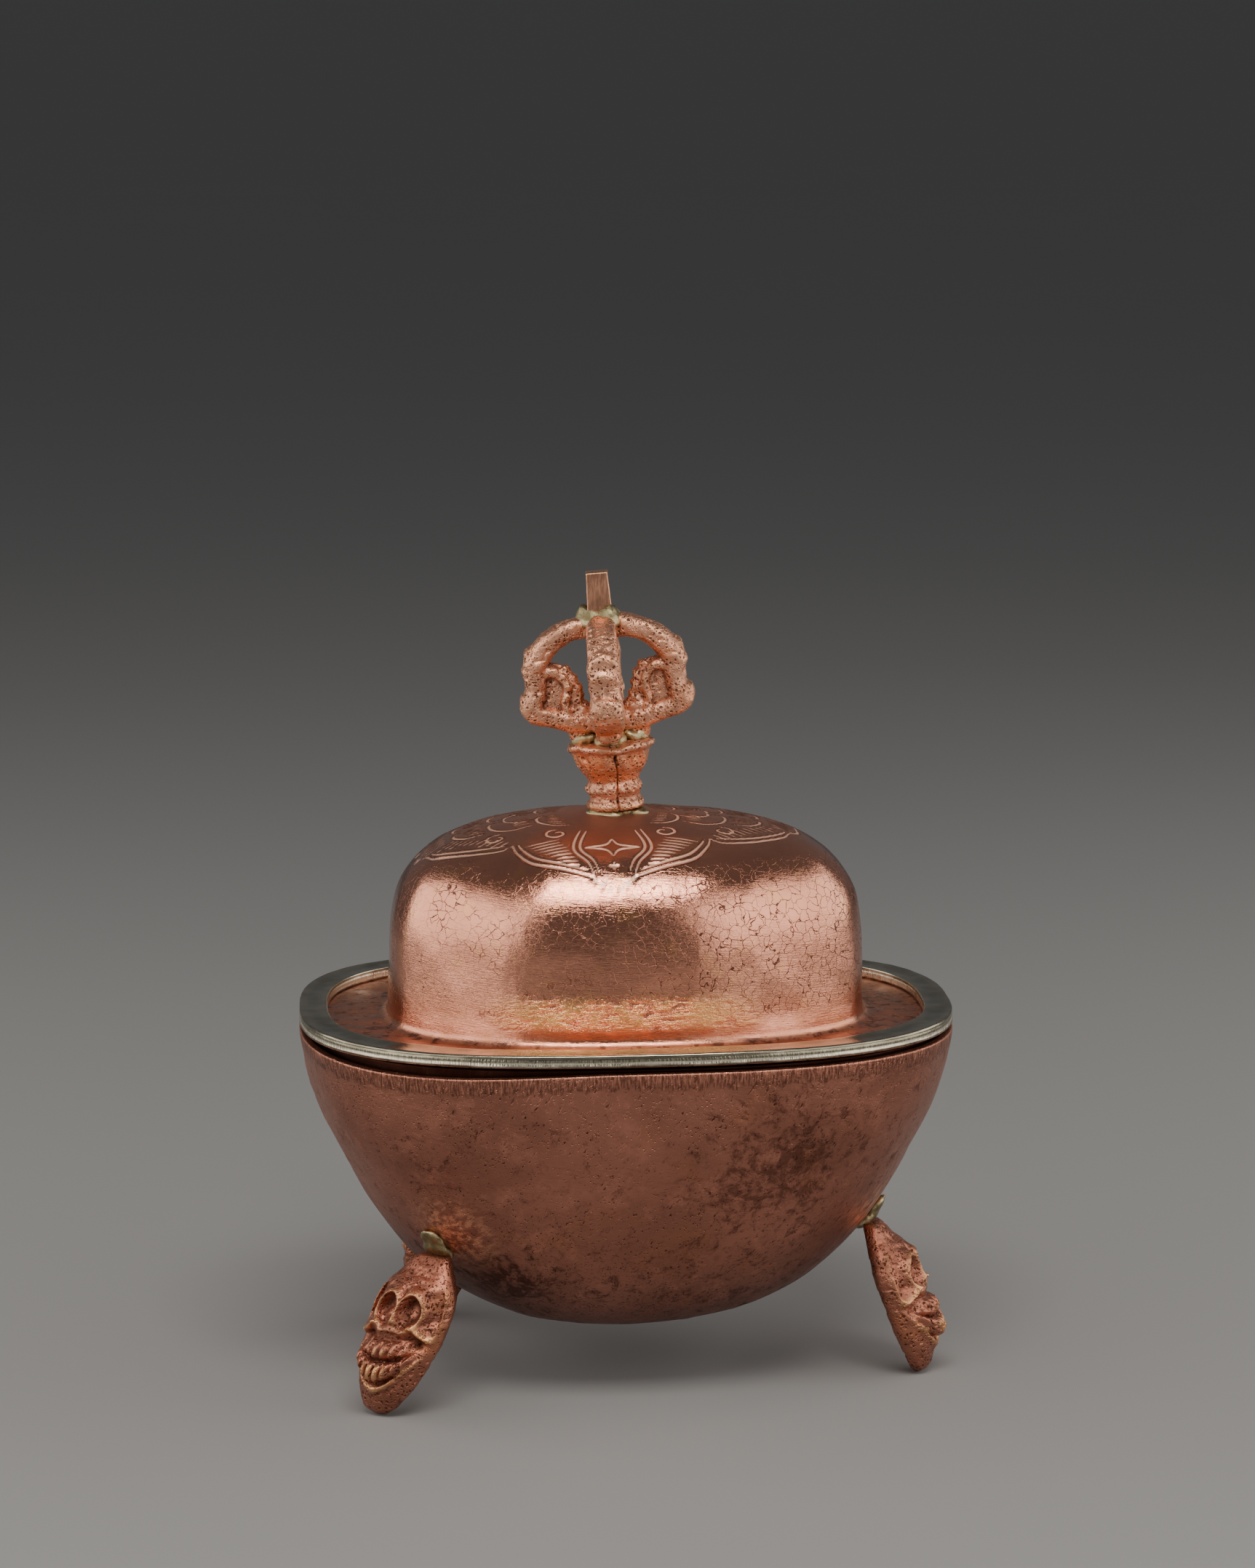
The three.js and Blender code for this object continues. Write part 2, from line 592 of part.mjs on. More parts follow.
// The square bar up the crown's middle, whose tapered tip stands out of the top
function centralProng() {
  const start = SOCKET_HEIGHT + SEAT_GAP;
  const tip = CROWN_TOP + STUB_LENGTH;
  const square = (width, height) => ringOf(4, (angle) => {
    const reach = width / Math.SQRT2;
    const turned = angle + Math.PI / 4;
    return new THREE.Vector3(reach * Math.cos(turned), reach * Math.sin(turned), height);
  });
  const middle = mix(start, CROWN_TOP, 0.5);
  return loft([square(BAR_WIDTH, start), square(BAR_WIDTH, middle), square(BAR_CROWN_WIDTH, CROWN_TOP),
    square(BAR_TIP_WIDTH, tip)]);
}

// Routes in a prong's upright plane, as shares of the crown's radius and of its height above the prong's root
const ARCH_ROUTE_SHARES = [[0.27, 0.925], [0.43, 0.89], [0.62, 0.8], [0.78, 0.67], [0.885, 0.52], [0.9, 0.37],
  [0.915, 0.22], [0.85, 0.12], [0.68, 0.078], [0.48, 0.073], [0.32, 0.073]];
const TONGUE_ROUTE_SHARES = [[0.3, 0.1], [0.36, 0.2], [0.45, 0.32], [0.54, 0.43], [0.62, 0.51], [0.72, 0.53],
  [0.79, 0.46], [0.8, 0.37]];
const WEB_OUTLINE_SHARES = [[0.34, 0.1], [0.46, 0.3], [0.6, 0.47], [0.88, 0.5], [0.86, 0.2], [0.66, 0.09]];
const CREST_SHARES = [0.14, 0.28, 0.42, 0.56];

function crownPlace([outShare, riseShare]) {
  return new THREE.Vector2(outShare * CROWN_RADIUS, PRONG_ROOT + riseShare * CROWN_HEIGHT);
}

// The arch leaves the bar level at the crown and comes back to it level at the root
function archRoute() {
  const crown = new THREE.Vector2(BAR_CROWN_WIDTH / 2 + SEAT_GAP, CROWN_TOP - PRONG_THICKNESS / 2);
  const root = new THREE.Vector2(BAR_WIDTH / 2 + SEAT_GAP, PRONG_ROOT + PRONG_THICKNESS / 2);
  return [crown, ...ARCH_ROUTE_SHARES.map(crownPlace), root];
}

// Carries an oval section along a route in the XZ plane; sizes gives its half width and half thickness
function sweptBar(route, stations, sides, sizes) {
  const curve = new THREE.SplineCurve(route);
  const rings = [];
  for (let station = 0; station <= stations; station += 1) {
    const share = station / stations;
    const centre = curve.getPointAt(share);
    const along = curve.getTangentAt(share);
    const { halfWidth, halfThickness } = sizes(share, centre);
    rings.push(ringOf(sides, (angle) => {
      const turned = angle + Math.PI / sides;
      const side = Math.sign(Math.cos(turned)) * Math.abs(Math.cos(turned)) ** 0.7 * halfWidth;
      const lift = Math.sign(Math.sin(turned)) * Math.abs(Math.sin(turned)) ** 0.7 * halfThickness;
      return new THREE.Vector3(centre.x - along.y * lift, side, centre.y + along.x * lift);
    }));
  }
  return loft(rings);
}

// Near the bar a prong narrows, so that it clears its neighbours in the corners
function prongHalfWidth(out, width) {
  return Math.min(width / 2, out - SEAT_GAP);
}

function prongArch() {
  return sweptBar(archRoute(), PRONG_STATIONS, PRONG_SIDES, (share, centre) => {
    const knuckles = 0.16 * bump(share, 0.46, 0.05) + 0.2 * bump(share, 0.66, 0.05) - 0.12 * bump(share, 0.56, 0.03);
    const taper = 0.8 + 0.2 * clampShare(share * 4);
    const rootSwell = 0.1 * clampShare(share * 5 - 4);
    return {
      halfWidth: prongHalfWidth(centre.x, PRONG_WIDTH * (taper + knuckles / 2 + rootSwell)),
      halfThickness: (PRONG_THICKNESS / 2) * (taper + knuckles),
    };
  });
}

function prongTongue() {
  return sweptBar(TONGUE_ROUTE_SHARES.map(crownPlace), TONGUE_STATIONS, TONGUE_SIDES, (share, centre) => {
    const swell = 0.75 + 0.35 * Math.sin(Math.PI * share);
    return {
      halfWidth: prongHalfWidth(centre.x, TONGUE_WIDTH * swell),
      halfThickness: (TONGUE_THICKNESS / 2) * swell,
    };
  });
}

function prongWeb() {
  const outline = new THREE.Shape(WEB_OUTLINE_SHARES.map(crownPlace));
  const web = new THREE.ExtrudeGeometry(outline, { depth: WEB_THICKNESS, bevelEnabled: false });
  web.translate(0, 0, -WEB_THICKNESS / 2);
  return web.rotateX(Math.PI / 2);
}

// The jagged crest along the tongue's inner side
function prongCrest() {
  const curve = new THREE.SplineCurve(TONGUE_ROUTE_SHARES.map(crownPlace));
  return CREST_SHARES.map((share) => {
    const centre = curve.getPointAt(share);
    const along = curve.getTangentAt(share);
    const spike = new THREE.ConeGeometry(CREST_WIDTH / 2, TONGUE_THICKNESS / 2 + CREST_LENGTH, 5);
    spike.translate(0, (TONGUE_THICKNESS / 2 + CREST_LENGTH) / 2, 0);
    const outward = new THREE.Vector3(-along.y, 0, along.x);
    spike.applyQuaternion(new THREE.Quaternion().setFromUnitVectors(new THREE.Vector3(0, 1, 0), outward));
    return spike.translate(centre.x, 0, centre.y);
  });
}

// One cast prong: the arch with its knuckles, and the curling tongue and crest inside it
function crownProng() {
  let solid = solidOf(prongArch());
  for (const piece of [prongTongue(), prongWeb(), ...prongCrest()]) {
    solid = solid.add(solidOf(piece));
  }
  return geometryOf(solid);
}

// A pad of solder between the socket's top and a prong's root
function rootSolder() {
  const start = BAR_WIDTH / 2 + SEAT_GAP;
  const middle = start + ROOT_SOLDER_LENGTH / 2;
  const base = SOCKET_HEIGHT + SEAT_GAP;
  const rings = [0, 0.5, 1].map((riseShare) => ringOf(RING_SEGMENTS / 2, (angle) => {
    const swell = 1 - 0.3 * riseShare ** 2;
    const x = middle + (ROOT_SOLDER_LENGTH / 2) * swell * Math.cos(angle);
    const halfWidth = prongHalfWidth(x, ROOT_SOLDER_WIDTH) * swell;
    return new THREE.Vector3(x, halfWidth * Math.sin(angle), base + riseShare * ROOT_SOLDER_HEIGHT);
  }));
  return loft(rings);
}

function squareReach(halfWidth, angle) {
  return halfWidth / Math.max(Math.abs(Math.cos(angle)), Math.abs(Math.sin(angle)));
}

// A ring between an inner and an outer outline, each given as a reach for an angle, with a domed top
function ringPad(innerReach, outerReach, base, edgeHeight, crownHeight) {
  const at = (angle, reach, height) => new THREE.Vector3(reach * Math.cos(angle), reach * Math.sin(angle), height);
  const between = (angle, share) => mix(innerReach(angle), outerReach(angle), share);
  const section = [[0, 0], [1, 0], [1, edgeHeight], [0.6, mix(edgeHeight, crownHeight, 0.7)], [0, crownHeight]];
  const rings = section.map(([share, rise]) => ringOf(RING_SEGMENTS, (angle) => (
    at(angle, between(angle, share), base + rise)
  )));
  return loft(rings, true);
}

function crownSolder() {
  const wave = (angle) => 1 + 0.3 * Math.cos(3 * angle + 1) + 0.15 * Math.cos(5 * angle);
  const inner = (angle) => squareReach(BAR_CROWN_WIDTH / 2 + SEAT_GAP, angle);
  return ringPad(
    inner,
    (angle) => inner(angle) + CROWN_SOLDER_WIDTH * wave(angle),
    CROWN_TOP + SEAT_GAP,
    CROWN_SOLDER_EDGE,
    CROWN_SOLDER_HEIGHT,
  );
}

function baseSolder() {
  const wave = (angle) => 1 + 0.03 * Math.cos(4 * angle + 1) + 0.02 * Math.cos(7 * angle);
  const inner = SOCKET_FOOT_RADIUS + SOCKET_PETAL_WAVE / 2 + SEAT_GAP;
  return ringPad(
    () => inner,
    (angle) => (inner + BASE_SOLDER_WIDTH) * wave(angle),
    DOME_TOP + SEAT_GAP,
    BASE_SOLDER_HEIGHT / 3,
    BASE_SOLDER_HEIGHT,
  );
}

// The finial leans over its foot: it stands on the dome's crown, clear of it at the foot's lower edge
function makeFinial() {
  const finial = new THREE.Group();
  const lift = SOCKET_FOOT_RADIUS * Math.sin(radians(FINIAL_LEAN));
  finial.position.set(-FINIAL_OFFSET, 0, DOME_TOP + SEAT_GAP + lift);
  finial.rotation.set(0, -radians(FINIAL_LEAN), radians(FINIAL_TURN), 'YZX');
  addPiece(finial, 'finial_socket', finialSocket(), CAST_COPPER);
  addPiece(finial, 'finial_central_prong', centralProng(), CAST_COPPER);
  addPiece(finial, 'crown_solder', crownSolder(), BRASS_SOLDER);
  PRONG_NAMES.forEach((name, index) => {
    const turn = (index / PRONG_COUNT) * 2 * Math.PI;
    addPiece(finial, `prong_${name}`, crownProng(), CAST_COPPER).rotation.z = turn;
    addPiece(finial, `prong_solder_${name}`, rootSolder(), BRASS_SOLDER).rotation.z = turn;
  });
  return finial;
}

const bowl = new THREE.Group();
addPiece(bowl, 'bowl_shell', bowlShell(), BOWL_COPPER);
for (const foot of FEET) {
  addPiece(bowl, `foot_${foot.name}`, maskFoot(foot), CAST_COPPER);
  addPiece(bowl, `foot_solder_${foot.name}`, footSolder(foot), BRASS_SOLDER);
}

const lid = new THREE.Group();
addPiece(lid, 'lid_dome', lidDome(), LID_COPPER);
addPiece(lid, 'lid_rim_band', lidRimBand(), WHITE_METAL);
addPiece(lid, 'lid_collar', lidCollar(), LID_COPPER);
addPiece(lid, 'finial_base_solder', baseSolder(), BRASS_SOLDER).position.x = -FINIAL_OFFSET;
lid.add(makeFinial());

const group = new THREE.Group();
group.add(bowl, lid);

export default group;
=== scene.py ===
"""Looks of a covered ritual bowl: beaten copper bowl on three cast mask feet, raised and engraved lid with
a white metal band, and a cast thunderbolt crown for its handle. Shapes are worked out in millimetres and
laid in metres."""

import json
import math

import bpy
import numpy as np
from mathutils import Matrix, Vector

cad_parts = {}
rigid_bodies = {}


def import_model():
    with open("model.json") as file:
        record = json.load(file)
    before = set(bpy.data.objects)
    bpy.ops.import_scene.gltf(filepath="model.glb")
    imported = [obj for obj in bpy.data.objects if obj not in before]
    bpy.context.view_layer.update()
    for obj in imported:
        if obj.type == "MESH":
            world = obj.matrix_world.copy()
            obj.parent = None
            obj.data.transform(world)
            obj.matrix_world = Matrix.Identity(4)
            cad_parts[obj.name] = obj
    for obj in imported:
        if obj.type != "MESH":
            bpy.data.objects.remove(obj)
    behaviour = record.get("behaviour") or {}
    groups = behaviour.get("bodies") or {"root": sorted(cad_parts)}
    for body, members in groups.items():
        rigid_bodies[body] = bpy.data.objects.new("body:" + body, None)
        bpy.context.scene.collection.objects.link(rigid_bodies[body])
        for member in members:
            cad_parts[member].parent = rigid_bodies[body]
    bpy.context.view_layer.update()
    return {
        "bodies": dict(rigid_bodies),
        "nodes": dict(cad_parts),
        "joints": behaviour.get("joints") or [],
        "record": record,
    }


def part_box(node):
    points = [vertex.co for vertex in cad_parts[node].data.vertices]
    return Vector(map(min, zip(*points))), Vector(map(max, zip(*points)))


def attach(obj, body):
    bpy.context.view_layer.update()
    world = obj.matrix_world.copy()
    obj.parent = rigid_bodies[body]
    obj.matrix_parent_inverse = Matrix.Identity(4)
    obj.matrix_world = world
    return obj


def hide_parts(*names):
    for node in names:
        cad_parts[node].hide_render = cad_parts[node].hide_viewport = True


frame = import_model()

bl_info = {
    "name": "Ritual Bowl",
    "version": (1, 0, 0),
    "blender": (4, 5, 0),
    "location": "View3D > Sidebar > Ritual Bowl",
    "description": "Makes a covered copper ritual bowl, piece by piece",
    "category": "Add Mesh",
}

MM = 0.001
BAND_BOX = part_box("lid_rim_band")
COLLAR_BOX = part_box("lid_collar")
BOWL_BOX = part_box("bowl_shell")
LID_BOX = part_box("lid_dome")
FOOT_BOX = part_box("foot_front_left")


# Sizes and colours that a user would change


def length(name, description, default):
    return bpy.props.FloatProperty(
        name=name, description=description, default=default, min=0.0, unit="LENGTH", subtype="DISTANCE",
        precision=5,
    )


def colour(name, description, default):
    return bpy.props.FloatVectorProperty(
        name=name, description=description, default=default, size=3, min=0.0, max=1.0, subtype="COLOR"
    )


def angle(name, description, degrees):
    return bpy.props.FloatProperty(
        name=name, description=description, default=math.radians(degrees), unit="ROTATION", subtype="ANGLE"
    )


def power(name, description, default):
    return bpy.props.FloatProperty(name=name, description=description, default=default, unit="POWER")


class RitualBowlBody(bpy.types.PropertyGroup):
    """Sizes of the beaten bowl"""

    rim_length: length("Rim length", "Length of the rim's oval", BAND_BOX[1].x - BAND_BOX[0].x)
    rim_width: length("Rim width", "Width of the rim's oval at its middle", 0.0706)
    rim_height: length("Rim height", "Height of the rim above the ground", BOWL_BOX[1].z)
    underside: length("Underside", "Height of the bowl's lowest point above the ground", BOWL_BOX[0].z)
    wall: length("Wall", "Thickness of the beaten wall", 0.0011)
    dents: length("Dents", "Depth of the soft dents left by the hammer", 0.00016)


class RitualBowlFeet(bpy.types.PropertyGroup):
    """Sizes of the cast mask feet"""

    height: length("Height", "Height of a foot, from chin to brow", FOOT_BOX[1].z)
    width: length("Width", "Width of a mask at its cheeks", 0.0134)
    depth: length("Depth", "Depth of a mask, from its back to its nose", 0.0072)
    edge: length("Edge", "Thickness of a mask at its sides", 0.0014)


class RitualBowlLid(bpy.types.PropertyGroup):
    """Sizes of the raised lid, its band and its collar"""

    dome_length: length("Dome length", "Length of the dome's oval at its foot", 0.0674)
    dome_width: length("Dome width", "Width of the dome's oval at its foot", 0.048)
    top: length("Top", "Height of the dome's crown above the ground", LID_BOX[1].z)
    sheet: length("Sheet", "Thickness of the lid's sheet", 0.00075)
    fillet: length("Fillet", "Radius where the dome turns out into its flange", 0.0013)
    facets: length("Facets", "Depth of the planishing marks", 0.0002)
    cut_depth: length("Cut depth", "Depth of the engraved lines", 0.00016)
    cut_width: length("Cut width", "Width of the engraved lines", 0.0005)
    band_width: length("Band width", "Width of the white metal band", 0.0041)
    collar_sheet: length("Collar sheet", "Thickness of the locating collar", 0.0008)
    collar_clearance: length("Collar clearance", "Gap between the collar and the bowl's wall", 0.0006)


class RitualBowlCrown(bpy.types.PropertyGroup):
    """Sizes and lean of the thunderbolt crown"""

    offset: length("Offset", "How far the crown stands toward the left of the dome's middle", 0.0013)
    lean: angle("Lean", "How far the crown leans to the left", 4.6)
    turn: angle("Turn", "How far the crown is turned on its socket", -3.5)
    prong_width: length("Prong width", "Width of a cast prong", 0.0046)
    bar_width: length("Bar width", "Width of the square bar at its foot", 0.004)
    cast_skin: length("Cast skin", "Depth of the rough skin left by the mould", 0.00007)


class RitualBowlColours(bpy.types.PropertyGroup):
    """Colours of the metals, of the light and shade painted on them, and of the floor"""

    bowl: colour("Bowl copper", "Satin copper of the bowl", (0.5, 0.21, 0.145))
    # Besides tarnish, this colour paints shade: toward the bowl's bottom, near-black inside the bowl and lid,
    # and along the collar's top.
    bowl_dark: colour("Bowl tarnish", "Dark tarnish in the bowl's dents", (0.1, 0.035, 0.024))
    lid: colour("Lid copper", "Polished copper of the lid", (0.95, 0.41, 0.27))
    # Gold also paints a reflection of the lit flange, low on the dome's front.
    gold: colour("Golden tint", "Golden tint on the lid's front, above its flange", (1.0, 0.51, 0.2))
    # A painted shadow of the crown on the dome in front of it.
    shadow: colour("Crown's shadow", "Dull copper on the dome in front of the crown", (0.15, 0.085, 0.067))
    # Bright cut metal in the engraved lines, with a painted highlight in it.
    burr: colour("Engraved metal", "Bright metal in the engraved lines", (1.0, 0.6, 0.44))
    cast: colour("Cast copper", "Cast copper of the crown", (0.93, 0.47, 0.3))
    mask: colour("Mask copper", "Cast copper of the feet", (0.5, 0.2, 0.13))
    worn: colour("Worn edges", "Pale brassy metal where castings are worn", (0.93, 0.5, 0.24))
    # Recess also paints shade in the castings' hollows, over the dark patina there.
    recess: colour("Recesses", "Dark brown left in the castings' hollows", (0.1, 0.034, 0.022))
    # Heat also paints orange reflections low round the dome's foot.
    heat: colour("Heat tint", "Orange left by the solderer's flame", (0.85, 0.33, 0.16))
    flame: colour("Flame tint", "Bright tint on the bowl beside its feet", (1.0, 0.5, 0.3))
    band: colour("White metal", "Greenish white metal of the lid's band", (0.5, 0.45, 0.33))
    # A painted highlight along the band's shoulder, over white metal rubbed bright there.
    band_wear_and_highlight: colour("Worn white metal", "White metal rubbed bright on the shoulder", (0.95, 0.87, 0.68))
    solder: colour("Solder", "Pale yellow solder", (0.38, 0.32, 0.175))
    solder_dark: colour("Dark solder", "Darker clouds in the solder", (0.21, 0.17, 0.085))
    solder_deep: colour("Solder's hollows", "Brown in the solder's hollows", (0.2, 0.11, 0.05))
    solder_flux: colour("Solder's flux", "Brown spots of flux on the solder", (0.24, 0.13, 0.06))
    # A painted highlight on the solder's raised lumps, over solder rubbed bright there.
    solder_rub_and_highlight: colour("Rubbed solder", "Solder rubbed bright", (0.68, 0.57, 0.34))
    floor: colour("Floor", "Pale floor", (0.3, 0.3, 0.3))


class RitualBowlStage(bpy.types.PropertyGroup):
    """Camera and lights"""

    distance: length("Distance", "How far the camera stands from the bowl", 0.7)
    azimuth: angle("Azimuth", "How far the camera stands round to the left of the front", -3.75)
    height: angle("Elevation", "How far the camera looks down", 9.9)
    aim: length("Aim", "Height that the camera looks at", 0.0845)
    side_light: power("Side lights", "Power of each side light", 1.48)
    top_light: power("Top light", "Power of the top light", 2.6)


def props(group):
    """The scene's settings of one group, such as body or lid."""
    return getattr(bpy.context.scene, f"ritual_bowl_{group}")


# Number work shared by all the pieces


def mix(start, end, share):
    return start + (end - start) * share


def bump(value, centre, spread):
    """A smooth hill: e to the minus square of the distance from the centre over the spread."""
    return np.exp(-(((value - centre) / spread) ** 2))


def ease(value, low, high):
    """A smooth step: 3t^2 - 2t^3, where t is the share of the way from low to high, held to 0 and 1."""
    t = np.clip((value - low) / (high - low), 0, 1)
    return t * t * (3 - 2 * t)


def spline(points, count):
    """A curve through the points: cubic pieces, whose slope at a point is half the step between its two
    neighbours."""
    points = np.asarray(points, float)
    padded = np.concatenate([2 * points[:1] - points[1:2], points, 2 * points[-1:] - points[-2:-1]])
    place = np.linspace(0, len(points) - 1, count)
    first = np.minimum(place.astype(int), len(points) - 2)
    t = (place - first)[:, None]
    a, b, c, d = (padded[first + step] for step in range(4))
    bend = (2 * a - 5 * b + 4 * c - d) * t**2 + (3 * b - a - 3 * c + d) * t**3
    return b + ((c - a) * t + bend) / 2


def running(points):
    """The running length along a line, from 0 at its first point."""
    return np.concatenate([[0], np.cumsum(np.linalg.norm(np.diff(points, axis=0), axis=1))])


def evenly(points, count):
    """The same line with its stations an equal distance apart, by interpolating over its running length."""
    run = running(points)
    places = np.linspace(0, run[-1], count)
    return np.stack([np.interp(places, run, axis) for axis in points.T], -1)


LATTICE_SIZE = 32
LATTICE = np.random.default_rng(11).uniform(-1, 1, (LATTICE_SIZE,) * 3)
JITTER = np.random.default_rng(12).uniform(0, 1, (LATTICE_SIZE, LATTICE_SIZE, LATTICE_SIZE, 3))
CORNERS = np.stack(np.meshgrid([0, 1], [0, 1], [0, 1], indexing="ij"), -1).reshape(-1, 3)
NEIGHBOURS = np.stack(np.meshgrid([-1, 0, 1], [-1, 0, 1], [-1, 0, 1], indexing="ij"), -1).reshape(-1, 3)


def drawn(values, cell):
    """The seeded values at cells of the lattice, which repeats past its size."""
    return values[tuple(np.moveaxis(cell % LATTICE_SIZE, -1, 0))]


def hills(points, wavelength, shift=0.0):
    """Smooth random hills between -1 and 1: seeded values on a lattice of the wavelength, blended by eased
    shares."""
    place = points / wavelength + shift
    cell = np.floor(place).astype(int)
    t = ease(place - cell, 0, 1)
    return sum(
        np.prod(np.where(corner == 1, t, 1 - t), -1) * drawn(LATTICE, cell + corner) for corner in CORNERS
    )


def hammer_marks(points, spacing, shift=0.0):
    """Shallow hollows that meet in soft creases: the squared distance to the nearest of a jittered lattice's
    points, held to 1."""
    place = points / spacing + shift
    cell = np.floor(place).astype(int)
    nearest = np.ones(points.shape[:-1])
    for step in NEIGHBOURS:
        centre = cell + step + drawn(JITTER, cell + step)
        nearest = np.minimum(nearest, np.sum((place - centre) ** 2, -1))
    return nearest


# Surfaces. Rings are arrays of rows x columns x 3; a skin is (points, quads, triangles).


def rings_of(x, y, z):
    return np.stack(np.broadcast_arrays(x, y, z), -1)


def round_turns(columns, start=0.0):
    """Evenly spaced angles round a ring."""
    return start + np.arange(columns) / columns * 2 * math.pi


def back_turns(columns):
    """Angles round a ring from the back, where its seam doesn't show."""
    return round_turns(columns, math.pi / 2)


def turned_rings(reach, turns, height):
    """Rings round an upright axis: reach cos, reach sin, height."""
    return rings_of(reach * np.cos(turns), reach * np.sin(turns), height)


def quarter_circle(count):
    """Two rows of numbers for rounding a corner by its radius: 1 - cos and sin, over a quarter turn."""
    turn = np.radians(np.linspace(0, 90, count))
    return 1 - np.cos(turn), np.sin(turn)


def grid_quads(rows, columns, looped=False):
    """Corner numbers of the quads between neighbouring rows, whose columns run round and meet."""
    row, column = np.meshgrid(np.arange(rows if looped else rows - 1), np.arange(columns), indexing="ij")
    here, after = row * columns, (row + 1) % rows * columns
    next_column = (column + 1) % columns
    corners = [here + column, here + next_column, after + next_column, after + column]
    return np.stack(corners, -1).reshape(-1, 4)


def closed_skin(rings):
    """A stack of rings closed at both ends by a fan to the middle of the end ring, facing outwards."""
    rows, columns, _ = rings.shape
    points = np.concatenate([rings.reshape(-1, 3), rings[:1].mean(1), rings[-1:].mean(1)])
    here = np.arange(columns)
    after = (here + 1) % columns
    last = (rows - 1) * columns
    first_fan = np.stack([np.full(columns, rows * columns), after, here], -1)
    last_fan = np.stack([np.full(columns, rows * columns + 1), last + here, last + after], -1)
    return faced_outwards((points, grid_quads(rows, columns), np.concatenate([first_fan, last_fan])))


def looped_skin(rings):
    """A stack of rings whose last ring meets its first, facing outwards."""
    rows, columns, _ = rings.shape
    quads = grid_quads(rows, columns, looped=True)
    return faced_outwards((rings.reshape(-1, 3), quads, np.zeros((0, 3), int)))


def joined(skins):
    """Several skins as one, each with its corner numbers moved up past those before it."""
    starts = np.cumsum([0, *(len(skin[0]) for skin in skins)])
    quads = np.concatenate([skin[1] + start for skin, start in zip(skins, starts)])
    triangles = np.concatenate([skin[2] + start for skin, start in zip(skins, starts)])
    return np.concatenate([skin[0] for skin in skins]), quads, triangles


def skin_corners(skin):
    """Corner numbers of a skin's faces cut into triangles, and the places of their three corners."""
    points, quads, triangles = skin
    corners = np.concatenate([quads[:, :3], quads[:, [0, 2, 3]], triangles])
    return corners, *(points[corners[:, side]] for side in range(3))


def faced_outwards(skin):
    """The skin with its faces turned round where the volume they enclose comes out negative."""
    _, a, b, c = skin_corners(skin)
    if np.sum(a * np.cross(b, c)) < 0:
        return skin[0], skin[1][:, ::-1], skin[2][:, ::-1]
    return skin


def skin_normals(skin):
    """Each point's outward direction: the sum of its faces' area vectors, brought to length 1."""
    corners, a, b, c = skin_corners(skin)
    area = np.cross(b - a, c - a)
    count = len(skin[0])
    summed = [sum(np.bincount(corners[:, side], axis, count) for side in range(3)) for axis in area.T]
    summed = np.stack(summed, -1)
    return summed / np.maximum(np.linalg.norm(summed, axis=1, keepdims=True), 1e-12)


def relaxed(skin, rounds):
    """The skin with each point moved halfway to the mean of its neighbours, as many times as there are
    rounds."""
    values, quads, triangles = skin
    pairs = [quads[:, [side, (side + 1) % 4]] for side in range(4)]
    pairs += [triangles[:, [side, (side + 1) % 3]] for side in range(3)]
    first, second = np.unique(np.sort(np.concatenate(pairs), axis=1), axis=0).T
    total = len(values)
    count = np.maximum(np.bincount(np.concatenate([first, second]), minlength=total), 1)[:, None]
    for _ in range(rounds):
        summed = [
            np.bincount(first, axis[second], total) + np.bincount(second, axis[first], total)
            for axis in values.T
        ]
        values = (values + np.stack(summed, -1) / count) / 2
    return values, quads, triangles


def relief_of(skin, rounds):
    """How far each point stands out, in millimetres, from a copy of the skin that has been smoothed."""
    return np.sum((skin[0] - relaxed(skin, rounds)[0]) * skin_normals(skin), 1)


def moved_out(skin, heights):
    """The skin with each point moved along its outward direction by its height."""
    points, quads, triangles = skin
    return points + skin_normals(skin) * heights[:, None], quads, triangles


def read_out(items, key, width=1, kind=int):
    """What every item of a mesh has under a key, in one array."""
    values = np.zeros(len(items) * width, kind)
    items.foreach_get(key, values)
    return values


def fused(skins, voxel):
    """Overlapping closed skins made one casting by Blender's voxel remesh, with cells of the size given."""
    mesh = mesh_of("casting", joined(skins))
    piece = bpy.data.objects.new("casting", mesh)
    bpy.context.scene.collection.objects.link(piece)
    remesh = piece.modifiers.new("Fuse", "REMESH")
    remesh.mode = "VOXEL"
    remesh.voxel_size = voxel * MM
    remesh.adaptivity = 0
    result = bpy.data.meshes.new_from_object(piece.evaluated_get(bpy.context.evaluated_depsgraph_get()))
    points = read_out(result.vertices, "co", 3, float).reshape(-1, 3) / MM
    corners = read_out(result.loops, "vertex_index")
    totals = read_out(result.polygons, "loop_total")
    starts = read_out(result.polygons, "loop_start")
    quads = corners[starts[totals == 4][:, None] + np.arange(4)]
    triangles = corners[starts[totals == 3][:, None] + np.arange(3)]
    bpy.data.objects.remove(piece)
    bpy.data.meshes.remove(result)
    bpy.data.meshes.remove(mesh)
    return faced_outwards((points, quads, triangles))


